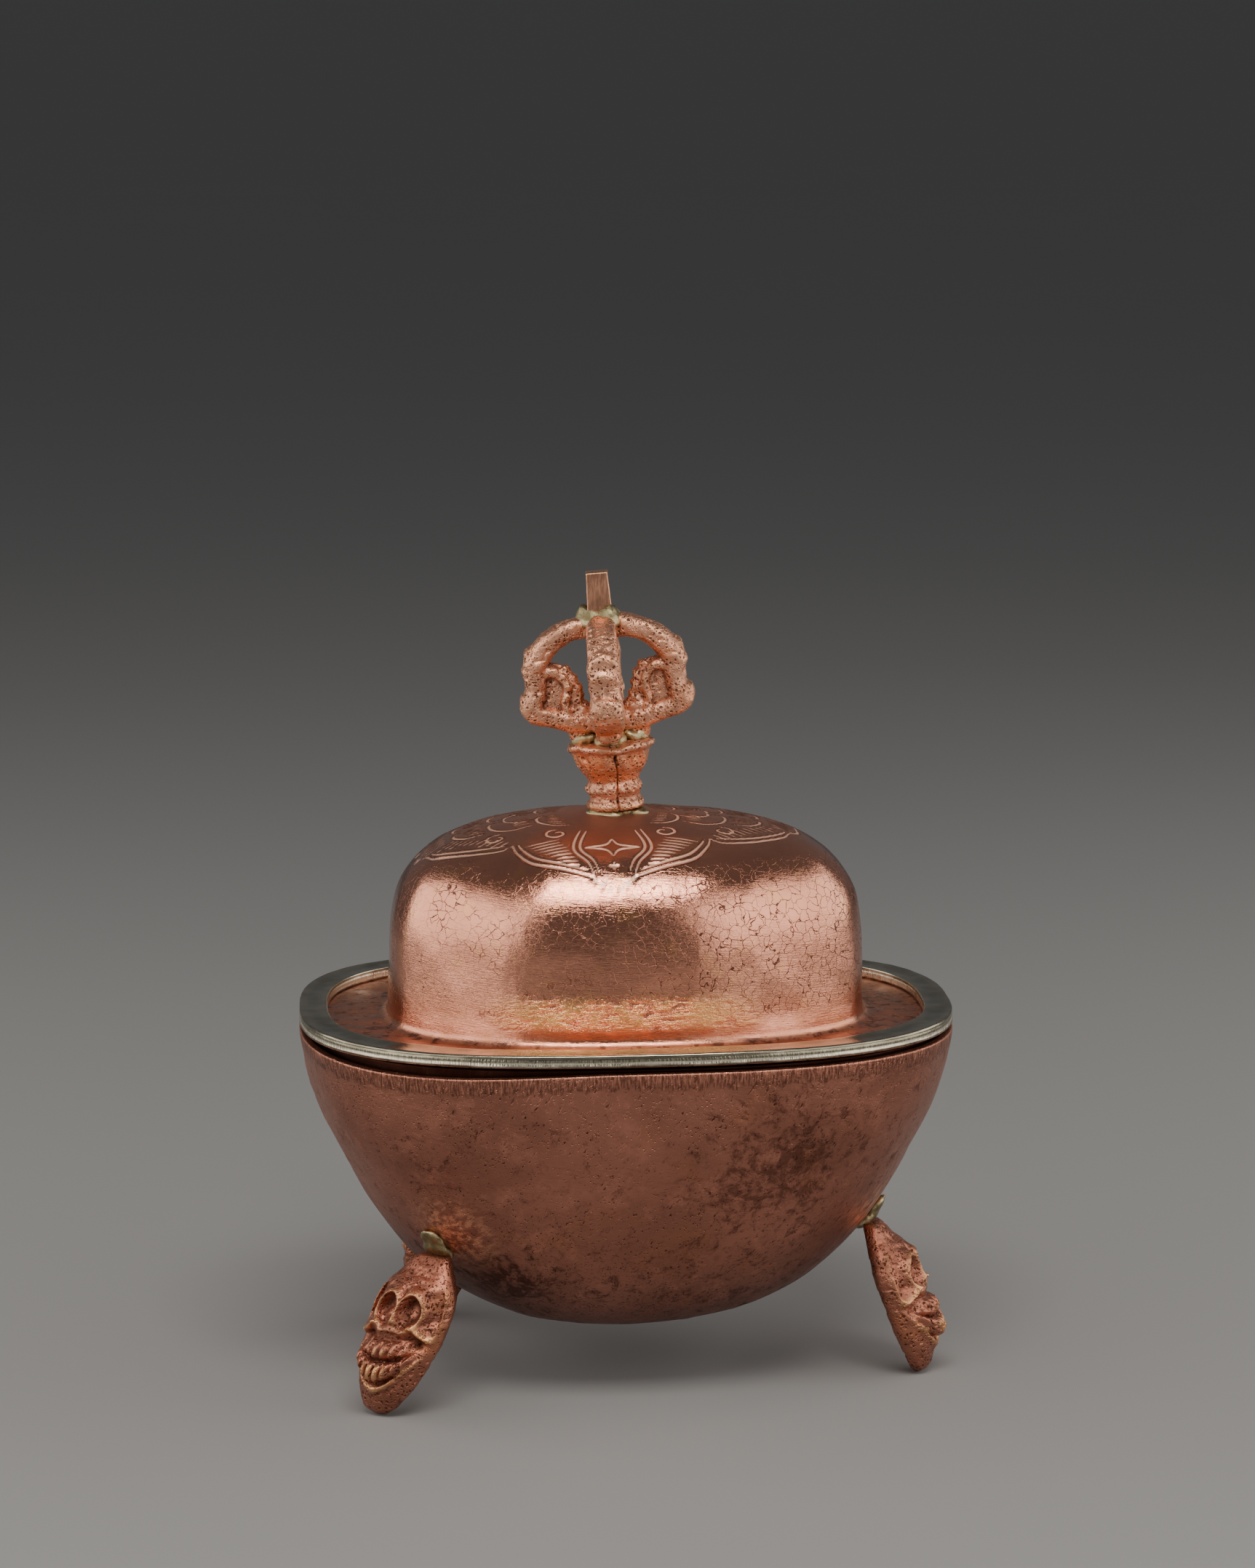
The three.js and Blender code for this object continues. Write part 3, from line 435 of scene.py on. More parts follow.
def mesh_of(name, skin, marks=None, uv=None):
    """A Blender mesh from a skin: points in metres, then quads and triangles, with each mark as a point
    attribute and the UV map given as two numbers for every corner."""
    points, quads, triangles = skin
    mesh = bpy.data.meshes.new(name)
    corners = np.concatenate([quads.ravel(), triangles.ravel()]).astype(np.int32)
    four = np.arange(len(quads)) * 4
    three = len(quads) * 4 + np.arange(len(triangles)) * 3
    mesh.vertices.add(len(points))
    mesh.vertices.foreach_set("co", (points * MM).astype(np.float32).ravel())
    mesh.loops.add(len(corners))
    mesh.loops.foreach_set("vertex_index", corners)
    mesh.polygons.add(len(quads) + len(triangles))
    mesh.polygons.foreach_set("loop_start", np.concatenate([four, three]).astype(np.int32))
    mesh.update(calc_edges=True)
    mesh.validate()
    mesh.shade_smooth()
    for mark, values in (marks or {}).items():
        attribute = mesh.attributes.new(mark, "FLOAT", "POINT")
        attribute.data.foreach_set("value", values.astype(np.float32))
    if uv is not None:
        mesh.uv_layers.new(name="Round").data.foreach_set("uv", uv.astype(np.float32).ravel())
    return mesh


def add_piece(name, skin, finish, body, node, marks=None, uv=None):
    """Puts a skin in the scene as a piece that rides on a body and stands for the CAD node named."""
    piece = bpy.data.objects.new(name, mesh_of(name, skin, marks, uv))
    bpy.context.scene.collection.objects.link(piece)
    piece.data.materials.append(finish)
    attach(piece, body)
    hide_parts(node)


def round_uv(ring, skin):
    """A UV map of (running length round a ring, height) in millimetres, which doesn't jump back at the
    seam."""
    points, quads, triangles = skin
    run = running(np.concatenate([ring, ring[:1]]))
    here = np.tile(np.arange(len(ring)), len(quads) // len(ring))
    u = run[np.stack([here, here + 1, here + 1, here], -1)]
    if quads[0, 0] != 0:
        u = u[:, ::-1]
    fans = np.zeros((len(triangles) * 3, 2))
    return np.concatenate([np.stack([u, points[quads, 2]], -1).reshape(-1, 2), fans])


# Finishes. A Reading is a number, a colour or a direction that changes over a surface.


class Reading:
    """Wraps a socket, so that sums written on it add Math nodes to its finish."""

    def __init__(self, finish, socket):
        self.finish = finish
        self.socket = socket

    def sum(self, operation, first, second):
        return self.finish.node("ShaderNodeMath", {"operation": operation}, {0: first, 1: second})

    def __add__(self, other):
        return self.sum("ADD", self, other)

    def __radd__(self, other):
        return self.sum("ADD", other, self)

    def __sub__(self, other):
        return self.sum("SUBTRACT", self, other)

    def __rsub__(self, other):
        return self.sum("SUBTRACT", other, self)

    def __mul__(self, other):
        return self.sum("MULTIPLY", self, other)

    def __rmul__(self, other):
        return self.sum("MULTIPLY", other, self)

    def __truediv__(self, other):
        return self.sum("DIVIDE", self, other)


def tone(name, share=1.0):
    """One of the scene's colours, darkened or lightened by a share."""
    return tuple(share * value for value in getattr(props("colours"), name))


class Finish:
    """A material under work. Patterns read Object coordinates, and sizes and places are given in millimetres.
    Coats of colour are laid one over another, and so are bumps."""

    def __init__(self, name):
        self.material = bpy.data.materials.new(name)
        self.material.use_nodes = True
        self.tree = self.material.node_tree
        self.tree.nodes.clear()
        self.place = self.node("ShaderNodeTexCoord", output="Object")
        self.colour = None
        self.normal = None

    def node(self, kind, settings=None, inputs=None, output=0):
        """Adds any node: its settings are made first, then its sockets' values or links. Returns one
        output."""
        made = self.tree.nodes.new(kind)
        for key, value in (settings or {}).items():
            setattr(made, key, value)
        for key, value in (inputs or {}).items():
            if isinstance(value, Reading):
                self.tree.links.new(value.socket, made.inputs[key])
            elif made.inputs[key].type == "RGBA" and len(value) == 3:
                made.inputs[key].default_value = (*value, 1.0)
            else:
                made.inputs[key].default_value = value
        return Reading(self, made.outputs[output]) if len(made.outputs) else made

    def cloud(self, size, detail=3.0, roughness=0.55, place=None, output=0):
        """Smooth noise from 0 to 1 with patches of about the size given."""
        inputs = {"Scale": 1 / (size * MM), "Detail": detail, "Roughness": roughness}
        return self.node("ShaderNodeTexNoise", {}, {"Vector": place or self.place, **inputs}, output)

    def drawn_out(self, sizes, turn, detail, roughness):
        """Noise whose patches have three sizes, along three axes turned by the angles given."""
        inputs = {"Vector": self.place, "Scale": sizes, "Rotation": turn}
        place = self.node("ShaderNodeMapping", {"vector_type": "TEXTURE"}, inputs)
        return self.cloud(1, detail, roughness, place)

    def ticks(self, width, tall):
        """Noise drawn out upright, from the UV map of running length and height: marks of the width and
        height given."""
        place = self.node("ShaderNodeUVMap", {"uv_map": "Round"})
        inputs = {"Vector": place, "Scale": (MM / width, MM / tall, 1.0)}
        return self.cloud(1, 2.0, 0.6, self.node("ShaderNodeMapping", {}, inputs))

    def cells(self, size, feature, place=None):
        """Cells of about the size given: distance to the middle or to the edge of the nearest."""
        inputs = {"Vector": place or self.place, "Scale": 1 / (size * MM)}
        return self.node("ShaderNodeTexVoronoi", {"feature": feature}, inputs, "Distance")

    def spots(self, size, low, high, place=None):
        """A spot in the middle of each cell: 1 up to the low share of the cell's size, and 0 past the
        high."""
        return self.share(self.cells(size, "F1", place), high, low)

    def warped(self, size, reach):
        """The place pushed about by noise of the size given, as far as the reach."""
        push = self.cloud(size, 2.0, output="Color")
        push = self.node("ShaderNodeVectorMath", {"operation": "SUBTRACT"}, {0: push, 1: (0.5, 0.5, 0.5)})
        push = self.node("ShaderNodeVectorMath", {"operation": "SCALE"}, {0: push, "Scale": reach * MM * 2})
        return self.node("ShaderNodeVectorMath", {"operation": "ADD"}, {0: self.place, 1: push})

    def share(self, value, low, high, start=0.0, end=1.0):
        """A smooth ramp from start to end as the value goes from low to high, which may be the smaller
        one."""
        ends = {"Value": value, 1: low, 2: high, 3: start, 4: end}
        return self.node("ShaderNodeMapRange", {"interpolation_type": "SMOOTHSTEP"}, ends)

    def patches(self, size, low, high, detail=3.0, roughness=0.55):
        """Soft-edged patches of about the size given: a ramp on a cloud."""
        return self.share(self.cloud(size, detail, roughness), low, high)

    def mark(self, name):
        """A mark of the piece's own points, such as its relief."""
        return self.node("ShaderNodeAttribute", {"attribute_name": name}, output="Fac")

    def axis(self, name):
        """The place along X, Y or Z, in metres."""
        return self.node("ShaderNodeSeparateXYZ", {}, {0: self.place}, name)

    def along(self, name, low, high, level=0.0):
        """A ramp as the place along an axis goes from low to high, counted from a level in metres."""
        return self.share(self.axis(name), level + low * MM, level + high * MM)

    def near(self, spot, reach):
        """1 at a spot, fading out to 0 at the reach."""
        inputs = {0: self.place, 1: tuple(value * MM for value in spot)}
        away = self.node("ShaderNodeVectorMath", {"operation": "DISTANCE"}, inputs, "Value")
        return self.share(away, reach * MM, reach * MM * 0.15)

    def blend(self, share, first, second):
        """A colour between two others."""
        return self.node("ShaderNodeMix", {"data_type": "RGBA"}, {0: share, 6: first, 7: second}, 2)

    def start(self, share, first, second):
        """The undermost colour, between two others."""
        self.colour = self.blend(share, first, second)

    def coat(self, share, colour):
        """Lays a colour over those before it, as thickly as the share says."""
        self.colour = self.blend(share, self.colour, colour)

    def bump(self, height, depth):
        """Bends the normal by a height from 0 to 1, whose full height is the depth given."""
        inputs = {"Height": height, "Distance": depth * MM, "Strength": 1.0}
        if self.normal:
            inputs["Normal"] = self.normal
        self.normal = self.node("ShaderNodeBump", {}, inputs)

    def metal(self, roughness, metallic=1.0):
        """Finishes the material as bare metal and returns it."""
        inputs = {"Base Color": self.colour, "Normal": self.normal}
        inputs |= {"Roughness": roughness, "Metallic": metallic}
        shader = self.node("ShaderNodeBsdfPrincipled", {}, inputs)
        self.node("ShaderNodeOutputMaterial", {}, {"Surface": shader})
        return self.material


def finish_of(name, maker):
    """The finish of that name, made once and shared by its pieces."""
    return bpy.data.materials.get(name) or maker(name)


def beaten_copper(name):
    """Satin copper of the bowl: soft clouds of tone, many small dark flecks and slanting scratches, dark
    mottled patches, tarnish in the dents, painted shade toward the bottom and the lower left, near-black
    tarnish and painted shade all over the inside, fine upright ticks in a strip under the rim, and flame
    tint beside the feet."""
    f = Finish(name)
    cloud = f.cloud(17, 4.0)
    fine = f.cloud(0.8, 5.0, 0.75)
    grime = f.cloud(2.2, 8.0, 0.75, f.warped(6, 2.5))
    worked = f.patches(9, 0.38, 0.6, 4.0)
    patch = f.near((19.5, -29, 36.5), 17) + f.near((-26.6, -23, 39), 11) * 0.55
    patch = patch + f.near((-18.5, -24, 17.5), 10) * 0.8 + f.near((34, -17, 38), 10) * 0.4
    mottle = f.share(grime + patch * 0.15, 0.5, 0.72)
    fleck = f.share(f.drawn_out((0.3, 0.3, 1.2), (0.0, 0.6, 0.2), 2.0, 0.5), 0.62, 0.7)
    fleck = fleck * mix(0.35, 1.0, worked)
    streak = f.share(f.drawn_out((0.5, 0.5, 3.2), (0.0, 0.35, -0.1), 3.0, 0.6), 0.62, 0.72) * worked
    speck = f.spots(0.55, 0.1, 0.26) * f.patches(4, 0.45, 0.6)
    wipes = f.drawn_out((5.0, 5.0, 0.3), (0.0, 0.15, 0.0), 4.0, 0.7)
    hollow = f.share(f.mark("relief"), 0.0, -0.06)
    inside = f.mark("inside")
    f.start(f.share(cloud, 0.36, 0.66), tone("bowl"), tone("bowl", 0.74))
    f.coat(f.share(wipes, 0.5, 0.8) * 0.35, tone("bowl", 0.5))
    f.coat(f.patches(5, 0.5, 0.7, 5.0, 0.7) * 0.55, tone("bowl", 1.35))
    f.coat(f.patches(8, 0.54, 0.7, 4.0, 0.6) * 0.3, tone("heat", 0.6))
    # Painted shade: darker toward the bottom and toward the lower left, laid on with the tarnish.
    low = f.along("Z", 30, 12) * 0.45 + f.along("X", -4, -30) * f.along("Z", 30, 16) * 0.4
    marks = mottle * 0.75 + fleck * 0.95 + streak * 0.6 + speck * 0.7 + hollow * 0.3
    f.coat(f.share(marks + f.share(fine, 0.52, 0.75) * 0.45 + low, 0.0, 1.2), tone("bowl_dark"))
    stroke = f.ticks(0.26, 1.7)
    rim = f.share(f.mark("below") + f.patches(1.4, 0.3, 0.7) * 0.9, 3.1, 2.3)
    f.coat(rim * 0.3, tone("bowl", 0.62))
    f.coat(rim * f.share(stroke, 0.46, 0.6) * 0.62, tone("bowl_dark"))
    f.coat(rim * f.share(stroke, 0.46, 0.34) * 0.3, tone("lid"))
    f.coat(f.share(f.mark("below"), 0.3, 0.1) * 0.4, tone("lid"))
    flame = f.near((-24.5, -22.5, 26.8), 9) + f.near((33, -12.5, 26.2), 7)
    flame = flame * f.share(f.drawn_out((0.9, 0.9, 3.6), (0.0, 0.9, 0.0), 5.0, 0.7), 0.42, 0.62)
    f.coat(flame * 0.8, tone("flame"))
    # Near-black inside: tarnish and painted shade of the closed bowl.
    f.coat(inside * 0.92, tone("bowl_dark", 0.3))
    f.bump(fine * 0.6 + f.cloud(0.35, 3.0, 0.7) * 0.35 - speck * 0.6 - fleck * 0.7 - streak * 0.5, 0.11)
    f.bump(wipes, 0.03)
    f.bump(f.cloud(2.4, 3.0), 0.12)
    f.bump(rim * stroke, 0.14)
    rough = 0.27 + f.share(cloud, 0.3, 0.7) * 0.1 + mottle * 0.16 + hollow * 0.1 + fine * 0.08
    return f.metal(rough + inside * 0.2)


def planished_copper(name):
    """Polished copper of the lid: planishing marks, a fine dark crackle that is strongest to the right, a
    painted reflection of the lit flange in gold low on the front, painted orange reflections low round the
    foot, a painted dark reflection over the top, a painted shadow of the crown, brown dirt on the flange,
    near-black tarnish and painted shade inside, and bright burred metal with a painted highlight in the
    engraved lines, edged with painted shade."""
    f = Finish(name)
    foot, top = BAND_BOX[0].z, LID_BOX[1].z
    wall = f.along("Z", 2.6, 4.6, foot) * f.along("Z", -3.2, -6.2, top)
    thick = f.share(f.cloud(2.6, 3.0), 0.3, 0.7, 0.012, 0.042)
    crack = f.share(f.cells(1.45, "DISTANCE_TO_EDGE", f.warped(1.3, 0.62)) / thick, 1.1, 0.5)
    crack = crack * mix(0.25, 1.0, f.share(f.cloud(7, 3.0) + f.along("X", -4, 14) * 0.2, 0.42, 0.6)) * wall
    cloud = f.cloud(9, 4.0)
    wipes = f.drawn_out((2.2, 2.2, 0.14), (0.0, 0.08, 0.0), 3.0, 0.7)
    groove = f.share(f.mark("cut"), 0.12, 0.5)
    burr = f.share(f.mark("cut"), -0.08, -0.45)
    crown = f.along("Z", -5.2, -2.2, top)
    lumps = f.drawn_out((2.0, 2.0, 0.7), (0.0, 0.0, 0.0), 4.0, 0.65)
    flange_reflection = f.along("Z", 8.3, 4.9, foot) * f.along("Z", 1.5, 3.3, foot) * f.along("Y", -20.5, -23.5)
    flange_reflection = flange_reflection * f.share(f.cloud(6, 3.0) + lumps * 0.5, 0.56, 0.8)
    corner = f.along("Z", 6.7, 1.3, foot) * f.patches(4, 0.32, 0.6, 4.0) * (1 - flange_reflection)
    flat = f.along("Z", 0.7, 0.2, foot)
    inside = f.mark("inside")
    f.start(f.share(cloud, 0.35, 0.7), tone("lid"), tone("lid", 0.84))
    f.coat(f.patches(4, 0.56, 0.7, 4.0) * 0.3, tone("gold"))
    f.coat(crack * 0.9, tone("recess", 0.7))
    # Painted dark reflection over the top of the dome.
    f.coat(crown * 0.3, tone("lid", 0.5))
    # Painted shadow of the crown on the dome in front of it.
    f.coat(f.near((-1.3, -8, 83.5), 16) * 0.8, tone("shadow"))
    # Painted shade beside the engraved lines, and a painted highlight on the bright cut metal in them.
    f.coat(burr * 0.65, tone("lid", 0.3))
    f.coat(groove * 0.9, tone("burr"))
    # Painted reflection of the lit flange, in gold, low on the dome's front.
    f.coat(flange_reflection * f.share(lumps, 0.35, 0.6, 0.55, 1.0), tone("gold", 1.15))
    # Painted orange reflections low round the dome's foot, in the heat tint's colour.
    f.coat(corner * 0.38, tone("heat", 0.72))
    f.coat(flat * 0.5, tone("lid", 0.4))
    f.coat(flat * f.spots(1.1, 0.08, 0.2) * 0.8, tone("worn"))
    f.coat(flat * f.patches(1.6, 0.52, 0.62, 5.0, 0.7) * 0.7, tone("bowl_dark"))
    # Near-black inside: tarnish and painted shade under the lid.
    f.coat(inside * 0.92, tone("bowl_dark", 0.3))
    f.bump(f.cloud(0.55, 4.0, 0.7), 0.016)
    f.bump(f.cloud(1.7, 3.0, 0.6), 0.045)
    f.bump(flange_reflection * lumps, 0.25)
    f.bump(wipes, 0.03)
    f.bump(1 - crack, 0.012)
    rough = 0.05 + f.share(cloud, 0.3, 0.7) * 0.04 + crack * 0.4
    rough = rough + f.share(wipes, 0.5, 0.7) * 0.06 + groove * 0.2
    rough = rough + corner * 0.18 + flange_reflection * 0.2 + flat * 0.2 + inside * 0.4 + crown * 0.24
    rough = rough + f.near((-1.3, -5, 83.5), 18) * 0.22
    return f.metal(rough, 1 - groove * 0.25 - flange_reflection * 0.12)


def tarnished_copper(name):
    """Copper left brown with tarnish: the collar under the lid, rubbed bright along its lower edge where it
    drops into the bowl's mouth, scratched upright by that, and near-black with painted shade along its top."""
    f = Finish(name)
    foot, top = COLLAR_BOX[0].z, COLLAR_BOX[1].z
    cloud = f.cloud(5, 5.0)
    scratches = f.drawn_out((0.3, 0.3, 4.0), (0.0, 0.0, 0.0), 3.0, 0.7)
    rubbed = f.share(f.axis("Z") + (cloud - 0.5) * 0.0012, foot + 0.9 * MM, foot + 0.2 * MM)
    f.start(f.share(cloud, 0.4, 0.64), tone("bowl", 0.62), tone("bowl_dark"))
    f.coat(f.share(scratches, 0.6, 0.72) * 0.5, tone("lid", 0.8))
    f.coat(rubbed * 0.7, tone("lid", 0.85))
    # Painted shade along the collar's top, under the lid.
    f.coat(f.along("Z", -2.1, -1.2, top) * 0.92, tone("bowl_dark", 0.4))
    f.bump(f.cloud(1.1, 3.0), 0.05)
    f.bump(scratches, 0.03)
    return f.metal(0.42 + f.share(cloud, 0.3, 0.7) * 0.16 - rubbed * 0.12)


def casting(name, colour_name, wear, orange):
    """Cast copper: warm metal in soft clouds, dark patina with painted shade in the hollows, two sizes of
    pit, flame orange where asked for, and pale brassy wear wherever the casting stands out."""
    f = Finish(name)
    relief = f.mark("relief")
    cloud = f.cloud(4, 4.0)
    grain = f.cloud(0.4, 5.0, 0.75)
    rubbed = f.share(f.cloud(2.5, 3.0) + f.along("Z", 9, 4) * 0.26, 0.38, 0.54)
    pit = f.spots(0.6, 0.16, 0.4, f.warped(0.7, 0.3)) * rubbed
    dust = f.spots(0.32, 0.18, 0.42, f.warped(0.4, 0.14)) * f.patches(1.8, 0.4, 0.54)
    hollow = f.share(relief + grain * 0.1, 0.02, -0.2)
    ridge = f.share(relief + grain * 0.08, 0.08, 0.38)
    f.start(f.share(cloud, 0.35, 0.65), tone(colour_name), tone(colour_name, 0.68))
    f.coat(f.patches(6, 0.6, 0.7, 2.0) * 0.3, tone("heat"))
    f.coat(f.share(orange(f), 0.0, 1.0), tone("heat"))
    # Painted shade in the hollows, over dark patina.
    f.coat(hollow * 0.7, tone("recess"))
    f.coat(f.share(pit + dust * 0.8, 0.0, 1.0) * 0.88, tone("recess"))
    f.coat(ridge * wear, tone("worn"))
    f.bump(grain, 0.05)
    f.bump(1 - dust, 0.07)
    f.bump(1 - pit, 0.16)
    return f.metal(0.37 + hollow * 0.2 + pit * 0.2 + f.share(cloud, 0.3, 0.7) * 0.1 - ridge * 0.06)


def cast_copper(name):
    """Salmon castings of the crown, flame orange on the socket's cup and low on the prongs."""

    def orange(f):
        dome = LID_BOX[1].z
        cup = f.along("Z", 3.9, 5.1, dome) * f.along("Z", 9.1, 8.1, dome)
        root = f.along("Z", 10.9, 11.5, dome) * f.along("Z", 13.8, 12.5, dome)
        in_cup = cup * f.share(f.cloud(3, 3.0), 0.3, 0.6, 0.35, 0.85)
        return in_cup + root * f.patches(3, 0.35, 0.6, 2.0) * 0.8

    return casting(name, "cast", 0.35, orange)


def mask_copper(name):
    """Redder, browner castings of the feet, with brassy wear along their ridges."""
    return casting(name, "mask", 0.8, lambda f: f.patches(5, 0.62, 0.72, 2.0) * 0.12)


def sawn_copper(name):
    """The square bar: filed flat and left plain, brown on its faces and bright along its edges."""
    f = Finish(name)
    file_marks = f.drawn_out((0.25, 0.25, 3.0), (0.0, 0.0, 0.0), 3.0, 0.7)
    f.start(f.patches(2.5, 0.35, 0.65), tone("cast", 0.76), tone("cast", 0.58))
    f.coat(f.spots(0.45, 0.1, 0.24) * f.patches(1.5, 0.5, 0.6, 2.0) * 0.5, tone("recess"))
    f.coat(f.share(f.mark("relief"), 0.03, 0.09) * 0.8, tone("worn"))
    f.bump(file_marks, 0.02)
    return f.metal(0.34 + f.share(file_marks, 0.4, 0.7) * 0.12)


def white_metal(name):
    """White metal of the band: fine upright file lines round its wall, a dark olive top face, worn bright
    along its shoulder with a painted highlight there, and a brown line of dirt where it meets the copper."""
    f = Finish(name)
    foot, top = BAND_BOX[0].z, BAND_BOX[1].z
    lines = f.ticks(0.27, 2.5)
    wall = f.along("Z", 1.2, 0.8, foot)
    face = f.along("Z", -0.12, -0.25, top) * (1 - wall)
    cloud = f.cloud(5, 4.0)
    f.start(f.share(cloud, 0.35, 0.68), tone("band"), tone("band", 0.72))
    f.coat(wall * f.share(lines, 0.42, 0.58) * 0.8, tone("band", 0.26))
    f.coat(face * f.patches(3, 0.3, 0.6, 4.0) * 0.6, tone("band", 0.42))
    # Painted highlight along the shoulder, over white metal rubbed bright.
    f.coat(f.share(f.mark("relief"), 0.03, 0.08) * 0.85, tone("band_wear_and_highlight"))
    f.coat(f.along("Z", 0.4, 0.1, foot) * f.share(cloud, 0.3, 0.6) * 0.8, tone("bowl_dark"))
    f.bump(f.cloud(0.5, 3.0, 0.7), 0.012)
    f.bump(f.cloud(4, 2.0), 0.05)
    f.bump(wall * lines, 0.12)
    return f.metal(0.17 + f.share(cloud, 0.35, 0.65) * 0.1 + wall * 0.05)


def yellow_solder(name):
    """Pale yellow solder: lumpy, brown in its hollows, brighter on its lumps where rubbed and with a painted
    highlight.
    """
    f = Finish(name)
    cloud = f.cloud(1.3, 4.0)
    relief = f.mark("relief")
    f.start(f.share(cloud, 0.35, 0.65), tone("solder"), tone("solder_dark"))
    f.coat(f.share(relief, -0.01, -0.08) * 0.4, tone("solder_deep"))
    f.coat(f.patches(0.7, 0.6, 0.7) * 0.7, tone("solder_flux"))
    # Painted highlight on the raised lumps, over solder rubbed bright.
    f.coat(f.share(relief, 0.04, 0.1) * 0.6, tone("solder_rub_and_highlight"))
    f.bump(f.cloud(0.4, 4.0, 0.7), 0.09)
    return f.metal(0.3 + f.share(cloud, 0.3, 0.7) * 0.2)


def matt_floor(name):
    """Pale matt floor with the faintest cloud in its tone."""
    f = Finish(name)
    f.start(f.cloud(160, 2.0), tone("floor"), tone("floor", 0.97))
    f.bump(f.cloud(1.5, 2.0), 0.01)
    return f.metal(0.85, 0.0)


# The bowl's oval plan and its beaten wall

RIM_SQUARENESS = 2.66
FULLER_END_SHARE = 0.05
RIM_DIPS = ((0.95, 226, 26), (0.2, 300, 40))
RIM_EDGE = 0.3
WRINKLES = (-26.6, -23.0, 39.0)


def oval(turn, half_length, half_width, power):
    """An oval plan: reach = ((|cos| / half length)^p + (|sin| / half width)^p)^(-1/p), with its width
    growing a twentieth toward its fuller end, at -X."""
    along = np.abs(np.cos(turn)) / half_length
    across = np.abs(np.sin(turn)) / half_width
    reach = (along**power + across**power) ** (-1 / power)
    x = reach * np.cos(turn)
    return x, reach * np.sin(turn) * (1 - FULLER_END_SHARE * x / half_length)


def rim_oval(turn, inset):
    """The rim's oval, drawn in by the inset."""
    body = props("body")
    return oval(turn, body.rim_length / 2 / MM - inset, body.rim_width / 2 / MM - inset, RIM_SQUARENESS)


def bowl_plan(rise):
    """Half length, half width and squareness of the bowl's plan at a share of its depth. The swell is
    (1 - (1 - rise)^1.25)^0.325, and a faint lip, 0.014 sin, is added over the top two fifths."""
    body = props("body")
    half_length, half_width = body.rim_length / 2 / MM, body.rim_width / 2 / MM
    rise = np.clip(rise, 0, 1)
    lip = np.clip((rise - 0.6) / 0.4, 0, 1)
    swell = (1 - (1 - rise) ** 1.25) ** 0.325 + 0.014 * np.sin(math.pi * lip)
    width_share = mix(0.8 * half_length / half_width, 1, rise)
    return half_length * swell, half_width * swell * width_share, mix(2.1, RIM_SQUARENESS, rise)


def bowl_wall(turn, rise, inset=0.0):
    """Points of the bowl's wall: the plan at each rise, drawn in by the inset, at a height that runs from the
    underside up to the rim, which dips in two soft hills."""
    body = props("body")
    half_length, half_width, power = bowl_plan(rise)
    x, y = oval(turn, half_length - inset, half_width - inset, power)
    degrees = np.degrees(turn) % 360
    dip = sum(depth * bump(degrees, place, spread) for depth, place, spread in RIM_DIPS)
    bottom = body.underside / MM + inset
    return rings_of(x, y, bottom + rise * (body.rim_height / MM - dip - bottom))


def rise_at(height):
    """The share of the bowl's depth that a height stands for."""
    body = props("body")
    return (height - body.underside / MM) / ((body.rim_height - body.underside) / MM)


def facing(direction, out, sideways):
    """Plan of a place that lies so far out along a direction, and so far to its side."""
    cos, sin = math.cos(direction), math.sin(direction)
    return cos * out - sin * sideways, sin * out + cos * sideways


def bowl_reach(direction, sideways, height):
    """How far out the bowl's wall lies along a direction, at a sideways place and a height, by halving."""
    half_length, half_width, power = bowl_plan(rise_at(height))
    inner = np.zeros(np.broadcast(sideways, height).shape)
    outer = inner + 60.0
    for _ in range(40):
        middle = (inner + outer) / 2
        x, y = facing(direction, middle, sideways)
        full = half_width * (1 - FULLER_END_SHARE * x / half_length)
        within = np.abs(x / half_length) ** power + np.abs(y / full) ** power < 1
        inner, outer = np.where(within, middle, inner), np.where(within, outer, middle)
    return outer


def bowl_rings():
    """Rings of the shell, evenly spaced up the outer wall, over the rounded rim and down the inner wall, with
    how many of them are outside and the rim's own ring."""
    turns = back_turns(480)[None, :]
    wall = props("body").wall / MM
    steps = np.linspace(0.001, 1, 4000) ** 4
    run = running(bowl_wall(np.array([[0.0]]), steps[:, None])[:, 0])
    outer = bowl_wall(turns, np.interp(np.linspace(0.004, 1, 150) * run[-1], run, steps)[:, None])
    inner = bowl_wall(turns, np.interp(np.linspace(1, 0.04, 36) * run[-1], run, steps)[:, None], wall)
    corner = np.radians([30, 60, 90])[:, None]
    rim = bowl_wall(turns, np.ones((3, 1)), RIM_EDGE * (1 - np.cos(corner)))
    rim[..., 2] = outer[-1, :, 2] - RIM_EDGE + RIM_EDGE * np.sin(corner)
    outer[-1, :, 2] -= RIM_EDGE
    top = mix(rim[-1][None], inner[:1], np.array([1 / 3, 2 / 3])[:, None, None])
    top[..., 2] = rim[-1, :, 2]
    return np.concatenate([outer, rim, top, inner]), len(outer), rim[-1]


def hammered(points):
    """How far each point of the bowl is sunk, as a share of its dents: soft dents, hammer marks, and
    patches of wrinkles, all fading toward the rim."""
    patch = ease(hills(points, 13, 3.3) + 0.35 * hills(points, 4, 1.1), 0.02, 0.4)
    sunk = 0.6 * hills(points, 11) + 0.28 * hills(points, 4.2, 5.5) + 0.7 * hammer_marks(points, 6.5) - 1.8
    sunk = sunk + patch * (0.5 * hills(points, 1.7, 2.2) + 0.28 * hills(points, 0.9, 7.7))
    wrinkled = ease(np.linalg.norm(points - WRINKLES, axis=1), 11, 3)
    sunk = sunk + wrinkled * 0.9 * (hills(points * [1.0, 1.0, 0.45], 1.5, 6.1) - 0.4)
    return sunk * mix(0.25, 1, ease(props("body").rim_height / MM - points[:, 2], 0.8, 4.5))


